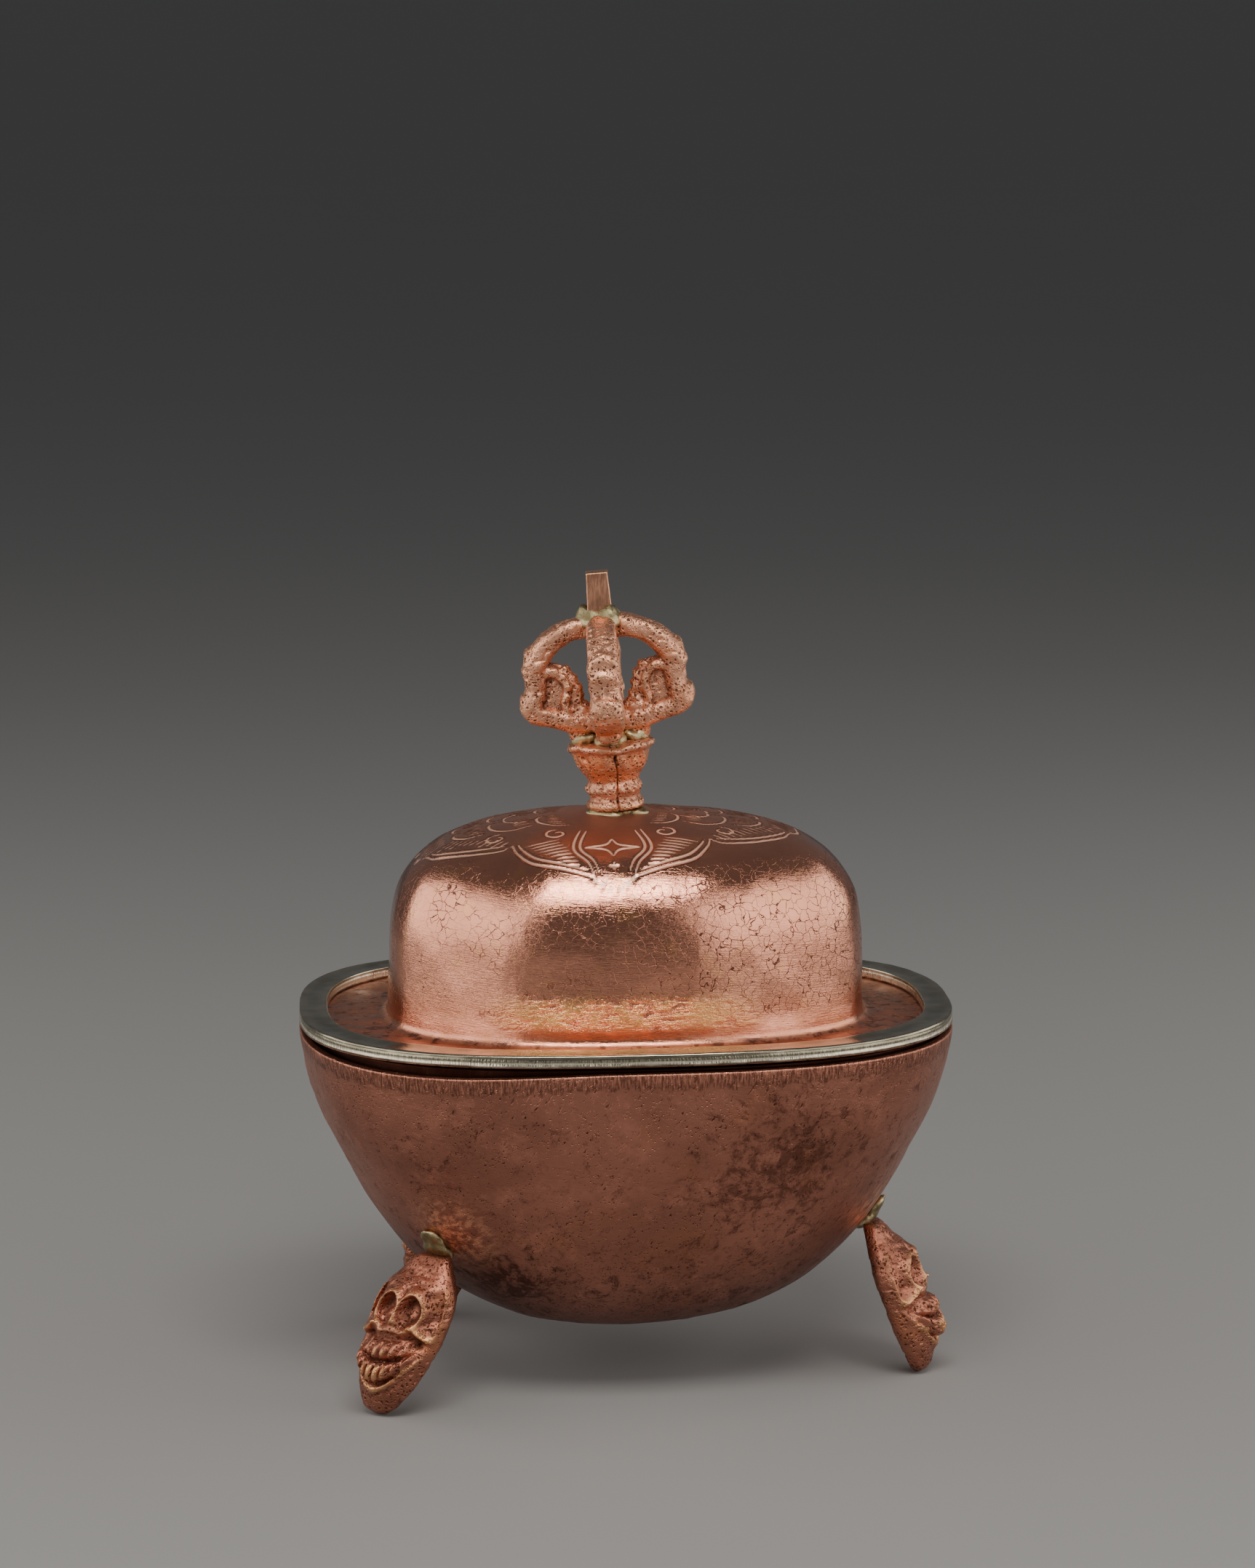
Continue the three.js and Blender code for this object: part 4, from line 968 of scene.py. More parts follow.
def make_bowl():
    """The beaten shell as one closed skin, marked with its relief, its inside and the depth below the rim."""
    rings, outside, rim = bowl_rings()
    skin = closed_skin(rings)
    skin = moved_out(skin, props("body").dents / MM * hammered(skin[0]))
    columns = rings.shape[1]
    inside = np.repeat(np.arange(len(rings)) >= outside + 6, columns)
    middles_below = [40.0, 40.0]
    marks = {
        "relief": relief_of(skin, 20),
        "inside": np.concatenate([inside, [False, True]]).astype(float),
        "below": np.concatenate([(rim[:, 2] - rings[..., 2]).ravel(), middles_below]),
    }
    uv = round_uv(rings[outside - 1], skin)
    finish = finish_of("satin_beaten_copper", beaten_copper)
    add_piece("beaten_bowl", skin, finish, "bowl", "bowl_shell", marks, uv)


# The mask feet: name, direction in degrees, the brow's place to the side, the lean and the chin's sway

FEET = (
    ("front_left", 229.0, -7.8, 7.6, -4.3),
    ("right", -14.3, 3.1, 7.3, 0.8),
    ("rear", 122.0, 7.7, 5.0, 0.5),
)
MASK_WIDTH_SHARES = (0.26, 0.5, 0.7, 0.84, 0.93, 0.98, 1, 0.98, 0.87, 0.64, 0.38)
MASK_DEPTH_SHARES = (0.24, 0.46, 0.62, 0.71, 0.76, 0.79, 0.8, 0.8, 0.8, 0.56, 0.26)
TOOTH_EDGES = np.array([0.0, 0.21, 0.41, 0.58, 0.72])
SOLDER_LUMPS = ((22.5, (1.3, 2.4, 1.6)), (24.0, (0.85, 2.0, 1.9)))


def curve_through(values, place):
    """A smooth curve through evenly spaced values, read at places from 0 to 1."""
    line = spline(np.stack([np.linspace(0, 1, len(values)), values], -1), 400)
    return np.interp(place, line[:, 0], line[:, 1])


def teeth(across, rise, row_rise, half_rise, curl, height, last):
    """A row of teeth: a band, the square root of 1 - |v|^2.4 across its height, which curls up by curl
    times the square of the place across, and is cut into teeth on both sides of the middle by 1 - 0.6 |u|^3
    in each tooth's width, until it dies away past the last one."""
    side = np.abs(across)
    tooth = np.clip(np.searchsorted(TOOTH_EDGES, side, side="right") - 1, 0, len(TOOTH_EDGES) - 2)
    u = 2 * (side - TOOTH_EDGES[tooth]) / (TOOTH_EDGES[tooth + 1] - TOOTH_EDGES[tooth]) - 1
    v = np.abs(rise - row_rise - curl * side**2) / (half_rise * (1 - 0.35 * side))
    band = height * np.sqrt(np.clip(1 - v**2.4, 0, 1)) * (1 - 0.5 * side**2)
    return band * (1 - 0.6 * np.abs(np.clip(u, -1, 1)) ** 3) * (1 - ease(side, last, last + 0.12))


def mask_carving(across, rise):
    """Two readings. The first is how many millimetres the carving stands out from the mask's smooth form:
    eye sockets and temples are steep-sided hollows, ridges are hills along curves (socket rims, cheekbones,
    lip), and two rows of teeth bulge out, with creases above, between and below them. The second is how far
    its ridges are worn, from 0 to 1."""
    side = np.abs(across)
    eye = np.hypot((side - 0.3) / 0.215, (rise - 0.692) / 0.085)
    socket = 1 / (1 + eye**4)
    rim = bump(eye, 1.38, 0.33) * (1 - 0.4 * bump(rise, 0.585, 0.03))
    bridge = bump(side, 0, 0.1) * bump(rise, 0.66, 0.06)
    nose = bump(side, 0, 0.15) * bump(rise, 0.575, 0.024)
    nostril = bump(side, 0.11, 0.05) * bump(rise, 0.6, 0.014)
    inner_corner = bump(side, 0.28, 0.12) * bump(rise, 0.66, 0.04)
    cheek_line = 0.57 + 0.045 * bump(side, 0.44, 0.16) - 0.045 * ease(side, 0.5, 0.92)
    cheek = bump(rise, cheek_line, 0.026) * ease(side, 0.2, 0.42) * (1 - ease(side, 0.9, 0.99))
    under_cheek = bump(side, 0.6, 0.2) * bump(rise, 0.5, 0.042)
    upper = teeth(across, rise, 0.452, 0.064, 0.06, 1.5, 0.52)
    lower = teeth(across, rise, 0.318, 0.074, 0.15, 1.8, 0.66)
    lip = bump(rise, 0.198 + 0.28 * side**2, 0.034) * (1 - ease(side, 0.78, 0.95))
    creases = bump(rise, 0.386 + 0.105 * side**2, 0.014) + bump(rise, 0.235 + 0.27 * side**2, 0.017)
    temple = ease(side, 0.54, 0.62) * (1 - ease(side, 0.87, 0.92))
    temple = temple * ease(rise, 0.6, 0.64) * (1 - ease(rise, 0.77, 0.84)) * ease(eye, 1.6, 2.0)
    frame = bump(side, 0.94, 0.04) * ease(rise, 0.5, 0.6) * (1 - ease(rise, 0.82, 0.88))
    frown = bump(side, 0, 0.08) * bump(rise, 0.8, 0.035)
    brow_line = bump(rise, 0.915, 0.03) * (1 - ease(side, 0.5, 0.9))
    carved = 0.85 * rim + 0.5 * bridge + 0.5 * nose + 1.0 * cheek
    carved = carved + 0.6 * lip + 0.45 * frame + 0.5 * inner_corner
    carved += upper + lower - 1.6 * socket - 0.6 * frown - 0.35 * nostril - 0.75 * temple - 0.3 * brow_line
    carved -= 0.55 * creases * (1 - ease(side, 0.62, 0.78)) + 1.6 * under_cheek
    worn = 0.6 * rim + 0.1 * bridge + 0.2 * nose + 0.75 * cheek + 0.55 * lip + 0.4 * frame
    worn += 0.6 * ease(upper + lower, 1.1, 1.7) * (1 - 0.6 * ease(side, 0.1, 0.5))
    return carved, np.clip(worn - socket, 0, 1)


def mask_skin(direction, offset, lean, sway, seed):
    """A mask foot and how far each point of it stands out. Rows climb from the chin to the brow, and each
    row is an outline of a front that bulges by (1 - |u|^2.2)^0.6 plus the carving, and of a flat back which
    leans out toward the chin by (1 - rise)^1.15. The chin's end is rounded by sqrt(1 - (1 - rise /
    0.07)^2). The brow stands to the side of the bowl's middle by the offset, and the chin to the side of
    the brow by the sway."""
    feet = props("feet")
    tall, width, deep, edge = (value / MM for value in (feet.height, feet.width, feet.depth, feet.edge))
    rise = np.linspace(0, 1, 250)[:, None] ** 1.12
    even = np.linspace(-1, 1, 150)[None, :]
    across = mix(even, np.sin(even * math.pi / 2), 0.55)
    seat_sideways = offset + np.array([-0.5, 0, 0.5]) * width * MASK_WIDTH_SHARES[-1]
    seat = bowl_reach(direction, seat_sideways, np.full(3, tall)).max() + 0.3
    tip = np.sqrt(np.clip(1 - (1 - np.clip(rise / 0.07, 0, 1)) ** 2, 0.06, 1))
    half_width = width / 2 * curve_through(MASK_WIDTH_SHARES, rise) * tip
    crown = deep * curve_through(MASK_DEPTH_SHARES, rise) * tip
    bulge = np.clip(1 - np.abs(across) ** 2.2, 0, 1) ** 0.6
    fade = ease(rise, 0, 0.16) * ease(1 - rise, 0, 0.12) * ease(bulge, 0.0, 0.45)
    carved, worn = mask_carving(across, rise)
    front = mix(np.minimum(edge, 0.6 * crown), crown, bulge) + carved * fade
    behind = np.linspace(1, -1, 22)[None, 1:-1]
    sideways = offset + sway * (1 - rise) + np.concatenate([across * half_width, behind * half_width], 1)
    out = seat + lean * (1 - rise) ** 1.15 + np.concatenate([front, np.zeros((len(rise), behind.size))], 1)
    skin = relaxed(closed_skin(rings_of(*facing(direction, out, sideways), rise * tall)), 4)
    worn = np.concatenate([worn * fade, np.zeros((len(rise), behind.size))], 1)
    relief = np.minimum(relief_of(skin, 90), 0.03) + 0.4 * np.concatenate([worn.ravel(), [0, 0]])
    points = skin[0]
    rough = 0.06 * hills(points, 1.1, seed) + 0.04 * hills(points, 0.55, seed + 3)
    rough = rough + 0.07 * hills(points, 2.6, seed + 5) - 0.12 * ease(hills(points, 0.75, seed + 8), 0.4, 0.7)
    level = ease(points[:, 2], 0.0, 0.8) * (1 - ease(points[:, 2], tall - 0.5, tall))
    return moved_out(skin, rough * level), relief


def make_feet():
    """Three castings from one mould, each seated on the bowl's wall."""
    finish = finish_of("worn_mask_copper", mask_copper)
    for name, degrees, offset, lean, sway in FEET:
        skin, relief = mask_skin(math.radians(degrees), offset, lean, sway, degrees * 0.37)
        marks = {"relief": relief}
        add_piece(f"mask_foot_{name}", skin, finish, "bowl", f"foot_{name}", marks)


def foot_solder_skin(direction, offset, seed):
    """A lump of solder on the brow's end, against the wall, that runs a little way up it as a thinner
    tongue: two rounded lumps turned to face along the foot's direction."""
    lumps = []
    for height, sizes in SOLDER_LUMPS:
        wall = bowl_reach(direction, np.array([offset]), np.array([height]))[0]
        points, quads, triangles = blob((wall + 0.15, offset, height), sizes, 0.9)
        slid = points[:, 0] + 0.75 * (points[:, 2] - height)
        lumps.append((rings_of(*facing(direction, slid, points[:, 1]), points[:, 2]), quads, triangles))
    skin = relaxed(fused(lumps, 0.16), 14)
    return moved_out(skin, 0.13 * hills(skin[0], 1.6, seed) + 0.07 * hills(skin[0], 0.6, seed + 2))


def make_foot_solder():
    """A lump of solder on the brow of each foot."""
    finish = finish_of("lumpy_yellow_solder", yellow_solder)
    for name, degrees, offset, _, _ in FEET:
        skin = foot_solder_skin(math.radians(degrees), offset, degrees * 0.21)
        marks = {"relief": relief_of(skin, 20)}
        add_piece(f"foot_fillet_{name}", skin, finish, "bowl", f"foot_solder_{name}", marks)


# The raised and engraved lid. Lines are places in one quarter of the ornament, from its middle.

DOME_SQUARENESS = 2.45
EDGE_CLEARANCE = 0.2
ORNAMENT_MIDDLE = (-2.7, 0.0)
LOBE_LINES = (
    ((2.9, -20.4), (7.1, -18.9), (11.2, -17.2), (13.2, -14.5), (13.75, -12.3)),
    ((3.7, -19.5), (7.0, -18.2), (10.5, -16.5), (12.3, -14.2), (12.9, -12.6)),
    ((13.75, -12.3), (15.4, -13.0), (18.6, -11.9), (22.0, -9.6), (24.6, -6.8), (25.6, -4.0)),
    ((14.6, -12.0), (18.0, -11.0), (21.4, -8.9), (23.8, -6.4), (24.9, -4.4)),
    ((25.6, -4.0), (26.8, -2.6), (27.1, -1.2), (27.1, 0.0)),
    ((4.2, -9.9), (5.4, -15.4), (3.5, -18.4), (2.7, -20.5)),
    ((3.4, -10.3), (4.5, -15.3), (2.8, -18.0), (2.1, -19.8)),
    ((0.0, -13.3), (1.0, -14.8), (3.9, -15.4)),
    ((0.0, -17.3), (1.0, -16.0), (3.9, -15.4)),
    ((7.2, -9.0), (8.6, -9.4), (8.9, -10.8), (7.7, -11.7), (6.6, -11.0), (6.9, -10.0), (7.8, -10.2)),
    ((15.4, -7.4), (16.8, -7.8), (17.2, -9.1), (16.1, -9.9), (15.0, -9.2), (15.4, -8.4)),
    ((5.4, -7.2), (7.8, -6.8), (9.6, -5.0), (9.9, -2.6), (9.0, -0.9)),
    ((9.9, -2.6), (12.6, -3.2), (14.2, -1.8), (14.4, 0.0)),
    ((10.4, -5.6), (13.2, -6.8), (15.6, -5.8), (16.6, -3.6), (16.4, -1.4), (14.9, -0.6)),
    ((17.4, -5.6), (19.8, -5.2), (21.3, -3.4), (21.6, -1.4), (20.4, -0.6)),
)
LEAF_STROKES = (
    ((3.1, -20.3), (1.9, -21.0), (0.5, -21.7)),
    ((0.0, -19.6), (0.0, -18.5)),
    ((-0.7, -19.05), (0.7, -19.05)),
)
FEATHERS = (
    (((7.4, -12.6), (4.6, -18.7)), ((11.9, -13.4), (6.6, -18.4)), 9),
    (((14.2, -10.8), (21.6, -4.0)), ((15.9, -11.9), (24.1, -5.2)), 11),
    (((22.8, -3.0), (23.0, 0.0)), ((26.0, -3.2), (26.3, 0.0)), 4),
    (((10.8, -4.6), (11.2, -1.0)), ((13.4, -4.8), (13.6, -2.6)), 5),
    (((17.4, -4.4), (17.2, -1.0)), ((20.0, -3.8), (20.4, -1.6)), 5),
    (((5.9, -6.2), (7.0, -1.2)), ((8.3, -5.4), (8.8, -1.4)), 6),
)


def feather(starts, ends, count):
    """Short strokes side by side: straight lines between evenly spaced places on two edges."""
    share = np.linspace(0, 1, count)[:, None]
    edges = [mix(np.array(places[0]), np.array(places[1]), share) for places in (starts, ends)]
    return np.stack(edges, 1)


def ornament_strokes():
    """Every engraved stroke as (line, width share, depth share). The tables give one quarter, which is
    mirrored to the other three."""
    quarter = [(evenly(spline(line, 60), 30), 1.0, 1.0) for line in LOBE_LINES]
    quarter += [(spline(line, 12), 1.3, 1.1) for line in LEAF_STROKES]
    quarter += [
        (line, 0.8, 0.75) for starts, ends, count in FEATHERS for line in feather(starts, ends, count)
    ]
    return [
        (line * flip + ORNAMENT_MIDDLE, wide, deep)
        for flip in ((1, 1), (-1, 1), (1, -1), (-1, -1))
        for line, wide, deep in quarter
    ]


def engraving(points, width):
    """How the graver left the top of the dome, from its plan: 1 at the bottom of a cut, falling to 0 at
    half its width, and down to -1 on the burr thrown up beside it. A stroke tapers toward both ends, as
    sin^0.5."""
    cut = np.zeros(len(points))
    half = width / 2
    for line, wide, deep in ornament_strokes():
        low, high = line.min(0) - 3 * half, line.max(0) + 3 * half
        close = np.nonzero(np.all((points[:, :2] > low) & (points[:, :2] < high), 1))[0]
        if not len(close):
            continue
        start, step = line[:-1], np.diff(line, axis=0)
        away = points[close, None, :2] - start[None]
        along = np.clip(np.sum(away * step, -1) / np.sum(step * step, -1), 0, 1)
        gap = np.linalg.norm(away - along[..., None] * step, axis=-1)
        nearest = gap.argmin(1)
        picked = np.arange(len(close))
        run = (nearest + along[picked, nearest]) / len(step)
        reach = half * wide * mix(0.35, 1, np.sin(math.pi * np.clip(run, 0, 1)) ** 0.5)
        q = gap[picked, nearest] / reach
        shape = deep * (np.clip(1 - q**1.6, 0, 1) - 0.7 * bump(q, 1.45, 0.3))
        here = cut[close]
        beside = np.where(here > 0, here, np.minimum(here, shape))
        cut[close] = np.where(shape > 0, np.maximum(here, shape), beside)
    return cut


def dome_plan(depth):
    """Half length, half width and squareness of the dome's plan at a share of its depth, and how much of its
    full size it has there: (1 - (1 - depth)^5)^0.4."""
    lid = props("lid")
    spread = (1 - (1 - np.clip(depth, 0, 1)) ** 5) ** 0.4
    half_length, half_width = lid.dome_length / 2 / MM * spread, lid.dome_width / 2 / MM * spread
    return half_length, half_width, mix(2.2, DOME_SQUARENESS, depth), spread


def lid_side(turns, rows, inset, top, floor, edge_rows):
    """One side of the sheet from crown to flange edge: the dome, a quarter-round fillet at its foot, and the
    level flange out to the rim's oval. Five rows in six lie over the crown, and the rest down the wall."""
    lid = props("lid")
    fillet = lid.fillet / MM
    start = floor + fillet
    steps = np.linspace(0, 1, 6000) ** 2
    run = running(np.stack([dome_plan(steps)[0], steps * (top - start)], -1))
    crowded = np.interp(np.linspace(0, 1, rows), [0, 0.84, 1], [0.004, 0.56, 1])
    depth = np.interp(crowded * run[-1], run, steps)[:, None]
    half_length, half_width, squareness, spread = dome_plan(depth)
    x, y = oval(turns, half_length - inset * spread, half_width - inset * spread, squareness)
    dome = rings_of(x, y, mix(top, start, depth))
    rounding, drop = (side[1:, None] for side in quarter_circle(9))
    grown = fillet * rounding - inset
    x, y = oval(turns, lid.dome_length / 2 / MM + grown, lid.dome_width / 2 / MM + grown, DOME_SQUARENESS)
    foot = rings_of(x, y, start - fillet * drop)
    edge = rings_of(*rim_oval(turns, EDGE_CLEARANCE), floor)
    flange = mix(foot[-1:], edge, np.linspace(0, 1, edge_rows + 1)[1:, None, None])
    flange[-1, :, 2] += 0.55 * inset / 0.75
    return np.concatenate([dome, foot, flange])


def make_lid():
    """The raised sheet, outside and inside, as one closed skin. Planishing facets are sunk into the dome, the
    flange is left a little uneven, and the ornament is cut into the crown."""
    lid = props("lid")
    turns = back_turns(520)[None, :]
    sheet, top = lid.sheet / MM, lid.top / MM
    floor = BAND_BOX[0].z / MM
    outer = lid_side(turns, 152, 0.0, top, floor, 8)
    inner = lid_side(turns, 8, sheet, top - sheet, floor - sheet, 4)
    skin = closed_skin(np.concatenate([outer, inner[::-1]]))
    points = skin[0]
    height = points[:, 2]
    on_top = np.arange(len(points)) < outer.shape[0] * outer.shape[1]
    crown = on_top & (height > top - 12)
    cut = np.zeros(len(points))
    cut[crown] = engraving(points[crown], lid.cut_width / MM)
    cut *= ease(height, top - 11, top - 7)
    facets = 1.2 * hammer_marks(points, 7.4, 0.4) + 0.7 * hills(points, 7.5, 2.0)
    facets = facets + 0.24 * hills(points, 3.7) - 1.5
    wall = ease(height, floor + 0.6, floor + 4) * mix(1, 0.55, ease(height, top - 6, top - 2))
    uneven = 0.05 * (hills(points, 5, 4.4) + 0.4 * hills(points, 1.4, 1.2) - 1) * (1 - wall)
    away = ease(np.hypot(points[:, 0] + 1.3, points[:, 1]), 4.0, 6.5)
    heights = lid.facets / MM * facets * wall * away + uneven
    heights = heights - lid.cut_depth / MM * np.where(cut > 0, cut, 0.35 * cut)
    skin = moved_out(skin, np.where(on_top, heights, 0))
    finish = finish_of("planished_lid_copper", planished_copper)
    marks = {"cut": cut, "inside": (~on_top).astype(float)}
    add_piece("raised_lid", skin, finish, "lid", "lid_dome", marks)


def make_band():
    """The band: a section with a square foot, a rounded outer shoulder and a softened inner edge, carried
    round the rim's oval, with its top face dished slightly and hand-filed a little uneven."""
    foot, tall = BAND_BOX[0].z / MM, (BAND_BOX[1].z - BAND_BOX[0].z) / MM
    wide, shoulder, edge, dish = props("lid").band_width / MM, 0.45, 0.3, 0.14
    out, up = quarter_circle(9)
    back, down = (side[::-1] for side in quarter_circle(6))
    face = np.linspace(shoulder, wide - edge, 14)[1:-1]
    dished = dish * np.sin(math.pi * (face - shoulder) / (wide - shoulder - edge))
    section = np.concatenate([
        np.stack([np.zeros(6), np.linspace(0, tall - shoulder, 7)[:-1]], -1),
        np.stack([shoulder * out, tall - shoulder + shoulder * up], -1),
        np.stack([face, tall - dished], -1),
        np.stack([wide - edge * back, tall - edge + edge * down], -1),
        np.stack([np.full(4, wide), np.linspace(tall - edge, 0, 5)[1:]], -1),
        [[wide * 0.66, 0], [wide * 0.33, 0]],
    ])
    x, y = rim_oval(back_turns(900)[None, :], section[:, :1] + 0.03)
    rings = rings_of(x, y, foot + section[:, 1:])
    skin = looped_skin(rings)
    uneven = 0.09 * (hills(skin[0], 6, 1.7) + 0.35 * hills(skin[0], 1.6, 3.1) - 1)
    skin = moved_out(skin, uneven * ease(skin[0][:, 2], foot, foot + 0.4))
    finish = finish_of("filed_white_metal", white_metal)
    marks = {"relief": relief_of(skin, 14)}
    uv = round_uv(rings[0], skin)
    add_piece("white_metal_band", skin, finish, "lid", "lid_rim_band", marks, uv)


def make_collar():
    """The locating collar: a plate on edge with its two lower corners rounded, carried round an oval that
    clears the wall of the bowl's mouth, and bowed in and out a little by hand."""
    lid = props("lid")
    foot, tall = COLLAR_BOX[0].z / MM, (COLLAR_BOX[1].z - COLLAR_BOX[0].z) / MM
    thick, corner = lid.collar_sheet / MM, 0.24
    rounding, up = (corner * side for side in quarter_circle(6))
    side = np.linspace(tall, corner, 9)[:-1]
    run = np.concatenate([0 * side, rounding, thick - corner + up, thick + 0 * side])
    rise = np.concatenate([side, corner - up, rounding, side[::-1]])
    half_length, half_width, squareness = bowl_plan(rise_at(foot))
    inset = run[:, None] + props("body").wall / MM + lid.collar_clearance / MM + 0.04
    x, y = oval(back_turns(420)[None, :], half_length - inset, half_width - inset, squareness)
    points, quads, triangles = looped_skin(rings_of(x, y, foot + rise[:, None]))
    outward = points * [1, 1, 0] / np.maximum(np.hypot(points[:, 0], points[:, 1]), 1)[:, None]
    points = points + 0.05 * (hills(points, 9, 2.3) - 1)[:, None] * outward
    finish = finish_of("tarnished_collar_copper", tarnished_copper)
    add_piece("locating_collar", (points, quads, triangles), finish, "lid", "lid_collar")


# The thunderbolt crown. Profiles and routes are (reach, height) from the foot of its own axis.

PRONGS = ("right", "rear", "left", "front")
SOCKET_FOOT = 4.05
SOCKET_PROFILE = (
    (3.9, 0.0), (4.05, 0.4), (3.95, 0.95), (3.6, 1.3), (3.55, 1.75), (3.7, 2.15), (3.95, 2.6), (3.95, 3.15),
    (3.7, 3.55), (3.62, 4.0), (3.9, 4.7), (4.4, 5.4), (4.85, 6.1), (5.2, 7.0), (5.35, 7.8), (5.6, 8.3),
    (6.0, 8.6), (6.2, 8.95), (6.05, 9.35), (5.5, 9.55), (4.4, 9.6), (3.0, 9.6),
)
ARCH_ROUTE = (
    (1.6, 26.15), (3.9, 25.7), (6.2, 24.85), (8.1, 23.5), (9.45, 21.8), (9.8, 20.2), (9.8, 18.5),
    (9.95, 16.8), (10.35, 15.3), (10.0, 14.3), (8.7, 13.6), (6.8, 13.1), (4.6, 12.5), (2.0, 12.3),
)
TONGUE_ROUTE = (
    (5.1, 12.4), (5.3, 13.6), (5.85, 15.1), (5.6, 16.4), (5.35, 17.7), (6.1, 19.1), (7.4, 19.9), (8.8, 19.5),
)
CREST_ROUTE = ((6.2, 20.2), (5.2, 18.7), (4.6, 17.2), (4.2, 15.7), (3.7, 14.3), (3.3, 12.8))


def add_to_crown(name, skin, finish, node, rounds, quarter=0.0):
    """Adds a piece, marked with its relief, at its place on the crown: it is turned to one of the four
    sides, then by the crown's own turn and lean, and lifted onto the dome."""
    crown = props("crown")
    turned = Matrix.Rotation(-crown.lean, 3, "Y") @ Matrix.Rotation(crown.turn + quarter, 3, "Z")
    lift = 0.3 + SOCKET_FOOT * math.sin(crown.lean)
    place = [-crown.offset / MM, 0, props("lid").top / MM + lift]
    marks = {"relief": relief_of(skin, rounds)}
    add_piece(name, (skin[0] @ np.array(turned).T + place, *skin[1:]), finish, "lid", node, marks)


def make_socket():
    """The lotus socket: a turned profile whose cup is cut into eight petals, |sin(4 turn)|^0.7, under a
    rolled lip that rises and falls with them, with beads round the neck and an open mould seam down the
    front."""
    profile = evenly(spline(SOCKET_PROFILE, 600), 150)
    turns = round_turns(400)
    radius, height = profile[:, :1], profile[:, 1:]
    cup = ease(height, 4.0, 7.4)
    lip = ease(height, 7.9, 8.7) * ease(radius, 4.4, 5.4)
    veins = np.abs(np.sin(4 * turns + 0.4)) ** 0.7
    petals = 0.42 * cup * (1 - lip) * (veins - 0.7) + 0.1 * cup * np.cos(16 * turns + 1.2 * height)
    waves = np.cos(4 * turns + math.pi) + 0.5 * np.cos(8 * turns + 1.3) + 0.4 * np.cos(3 * turns)
    beads = 0.12 * bump(height, 2.9, 0.5) * np.cos(20 * turns + 2.5 * height)
    beside = (turns - 1.5 * math.pi - 0.13 + 0.03 * np.sin(height)) * radius
    seam = (0.2 * bump(beside, -0.3, 0.25) - 0.45 * bump(beside, 0, 0.13)) * (1 - lip)
    reach = radius + petals + 0.12 * waves * lip + beads + seam
    skin = closed_skin(turned_rings(reach, turns, height + 0.22 * waves * lip * ease(radius, 4.6, 5.6)))
    points = skin[0]
    rough = 0.1 * hills(points, 1.5, 4.1) + 0.07 * hills(points, 0.7, 9.1)
    rough = rough - 0.1 * ease(hills(points, 0.6, 2.5), 0.4, 0.8)
    skin = moved_out(skin, rough * ease(points[:, 2], 0, 0.5))
    finish = finish_of("pitted_cast_copper", cast_copper)
    add_to_crown("lotus_socket", skin, finish, "finial_socket", 60)


def make_bar():
    """The square bar: a rounded square section, (|cos|^20 + |sin|^20)^(-1/20), which tapers from its foot
    to the crown and again to its sawn tip."""
    half = props("crown").bar_width / MM / 2
    tip_half, end = 0.7625 * half, 33.49
    sides = np.array([[half, 8.0], [half, 19.0], [0.9 * half, 27.65], [tip_half, end - 0.05]])
    tip = [[tip_half - 0.04, end - 0.015], [tip_half - 0.12, end], [0.5 * half, end], [0.2, end]]
    line = np.concatenate([evenly(sides, 120), tip])
    turns = round_turns(160)
    square = (np.abs(np.cos(turns)) ** 20 + np.abs(np.sin(turns)) ** 20) ** (-1 / 20)
    skin = closed_skin(turned_rings(line[:, :1] * square, turns, line[:, 1:]))
    points = skin[0]
    uneven = 0.03 * (hills(points, 1.4, 6.0) + 0.4 * hills(points, 0.5, 1.0) - 1)
    skin = moved_out(skin, uneven * (points[:, 2] < end - 0.19))
    finish = finish_of("filed_bar_copper", sawn_copper)
    add_to_crown("square_bar", skin, finish, "finial_central_prong", 12)


def boxed(value, boxy):
    """A cosine or sine to a power, with its sign kept: less than 1 makes a section boxier."""
    return np.sign(value) * np.abs(value) ** boxy


def swept(route, stations, sides, half_width, half_thick):
    """A closed bar carried along a route in the prong's upright plane. Its section is a rounded box, cos
    and sin to the power 0.75, across by the half width and in the plane by the half thickness. Both are
    functions of the share of the way along, and the thickness also of which side is meant, 1 outward and -1
    inward, and of the place across."""
    line = evenly(spline(route, 400), stations)
    along = np.gradient(line, axis=0)
    along /= np.linalg.norm(along, axis=1, keepdims=True)
    share = np.linspace(0, 1, stations)[:, None]
    turns = round_turns(sides)
    side, lift = boxed(np.cos(turns), 0.75), boxed(np.sin(turns), 0.75)
    out = lift * half_thick(share, lift, side)
    x = line[:, :1] - along[:, 1:] * out
    z = line[:, 1:] + along[:, :1] * out
    return closed_skin(rings_of(x, side * half_width(share), z))


def blob(centre, sizes, boxy):
    """A rounded lump: an ellipsoid, with cos and sin to the power given."""
    tilt = np.linspace(-math.pi / 2 + 0.05, math.pi / 2 - 0.05, 24)[:, None]
    turns = round_turns(36)
    round_share = boxed(np.cos(tilt), boxy)
    x = centre[0] + sizes[0] * round_share * boxed(np.cos(turns), boxy)
    y = centre[1] + sizes[1] * round_share * boxed(np.sin(turns), boxy)
    return closed_skin(rings_of(x, y, centre[2] + sizes[2] * boxed(np.sin(tilt), boxy)))


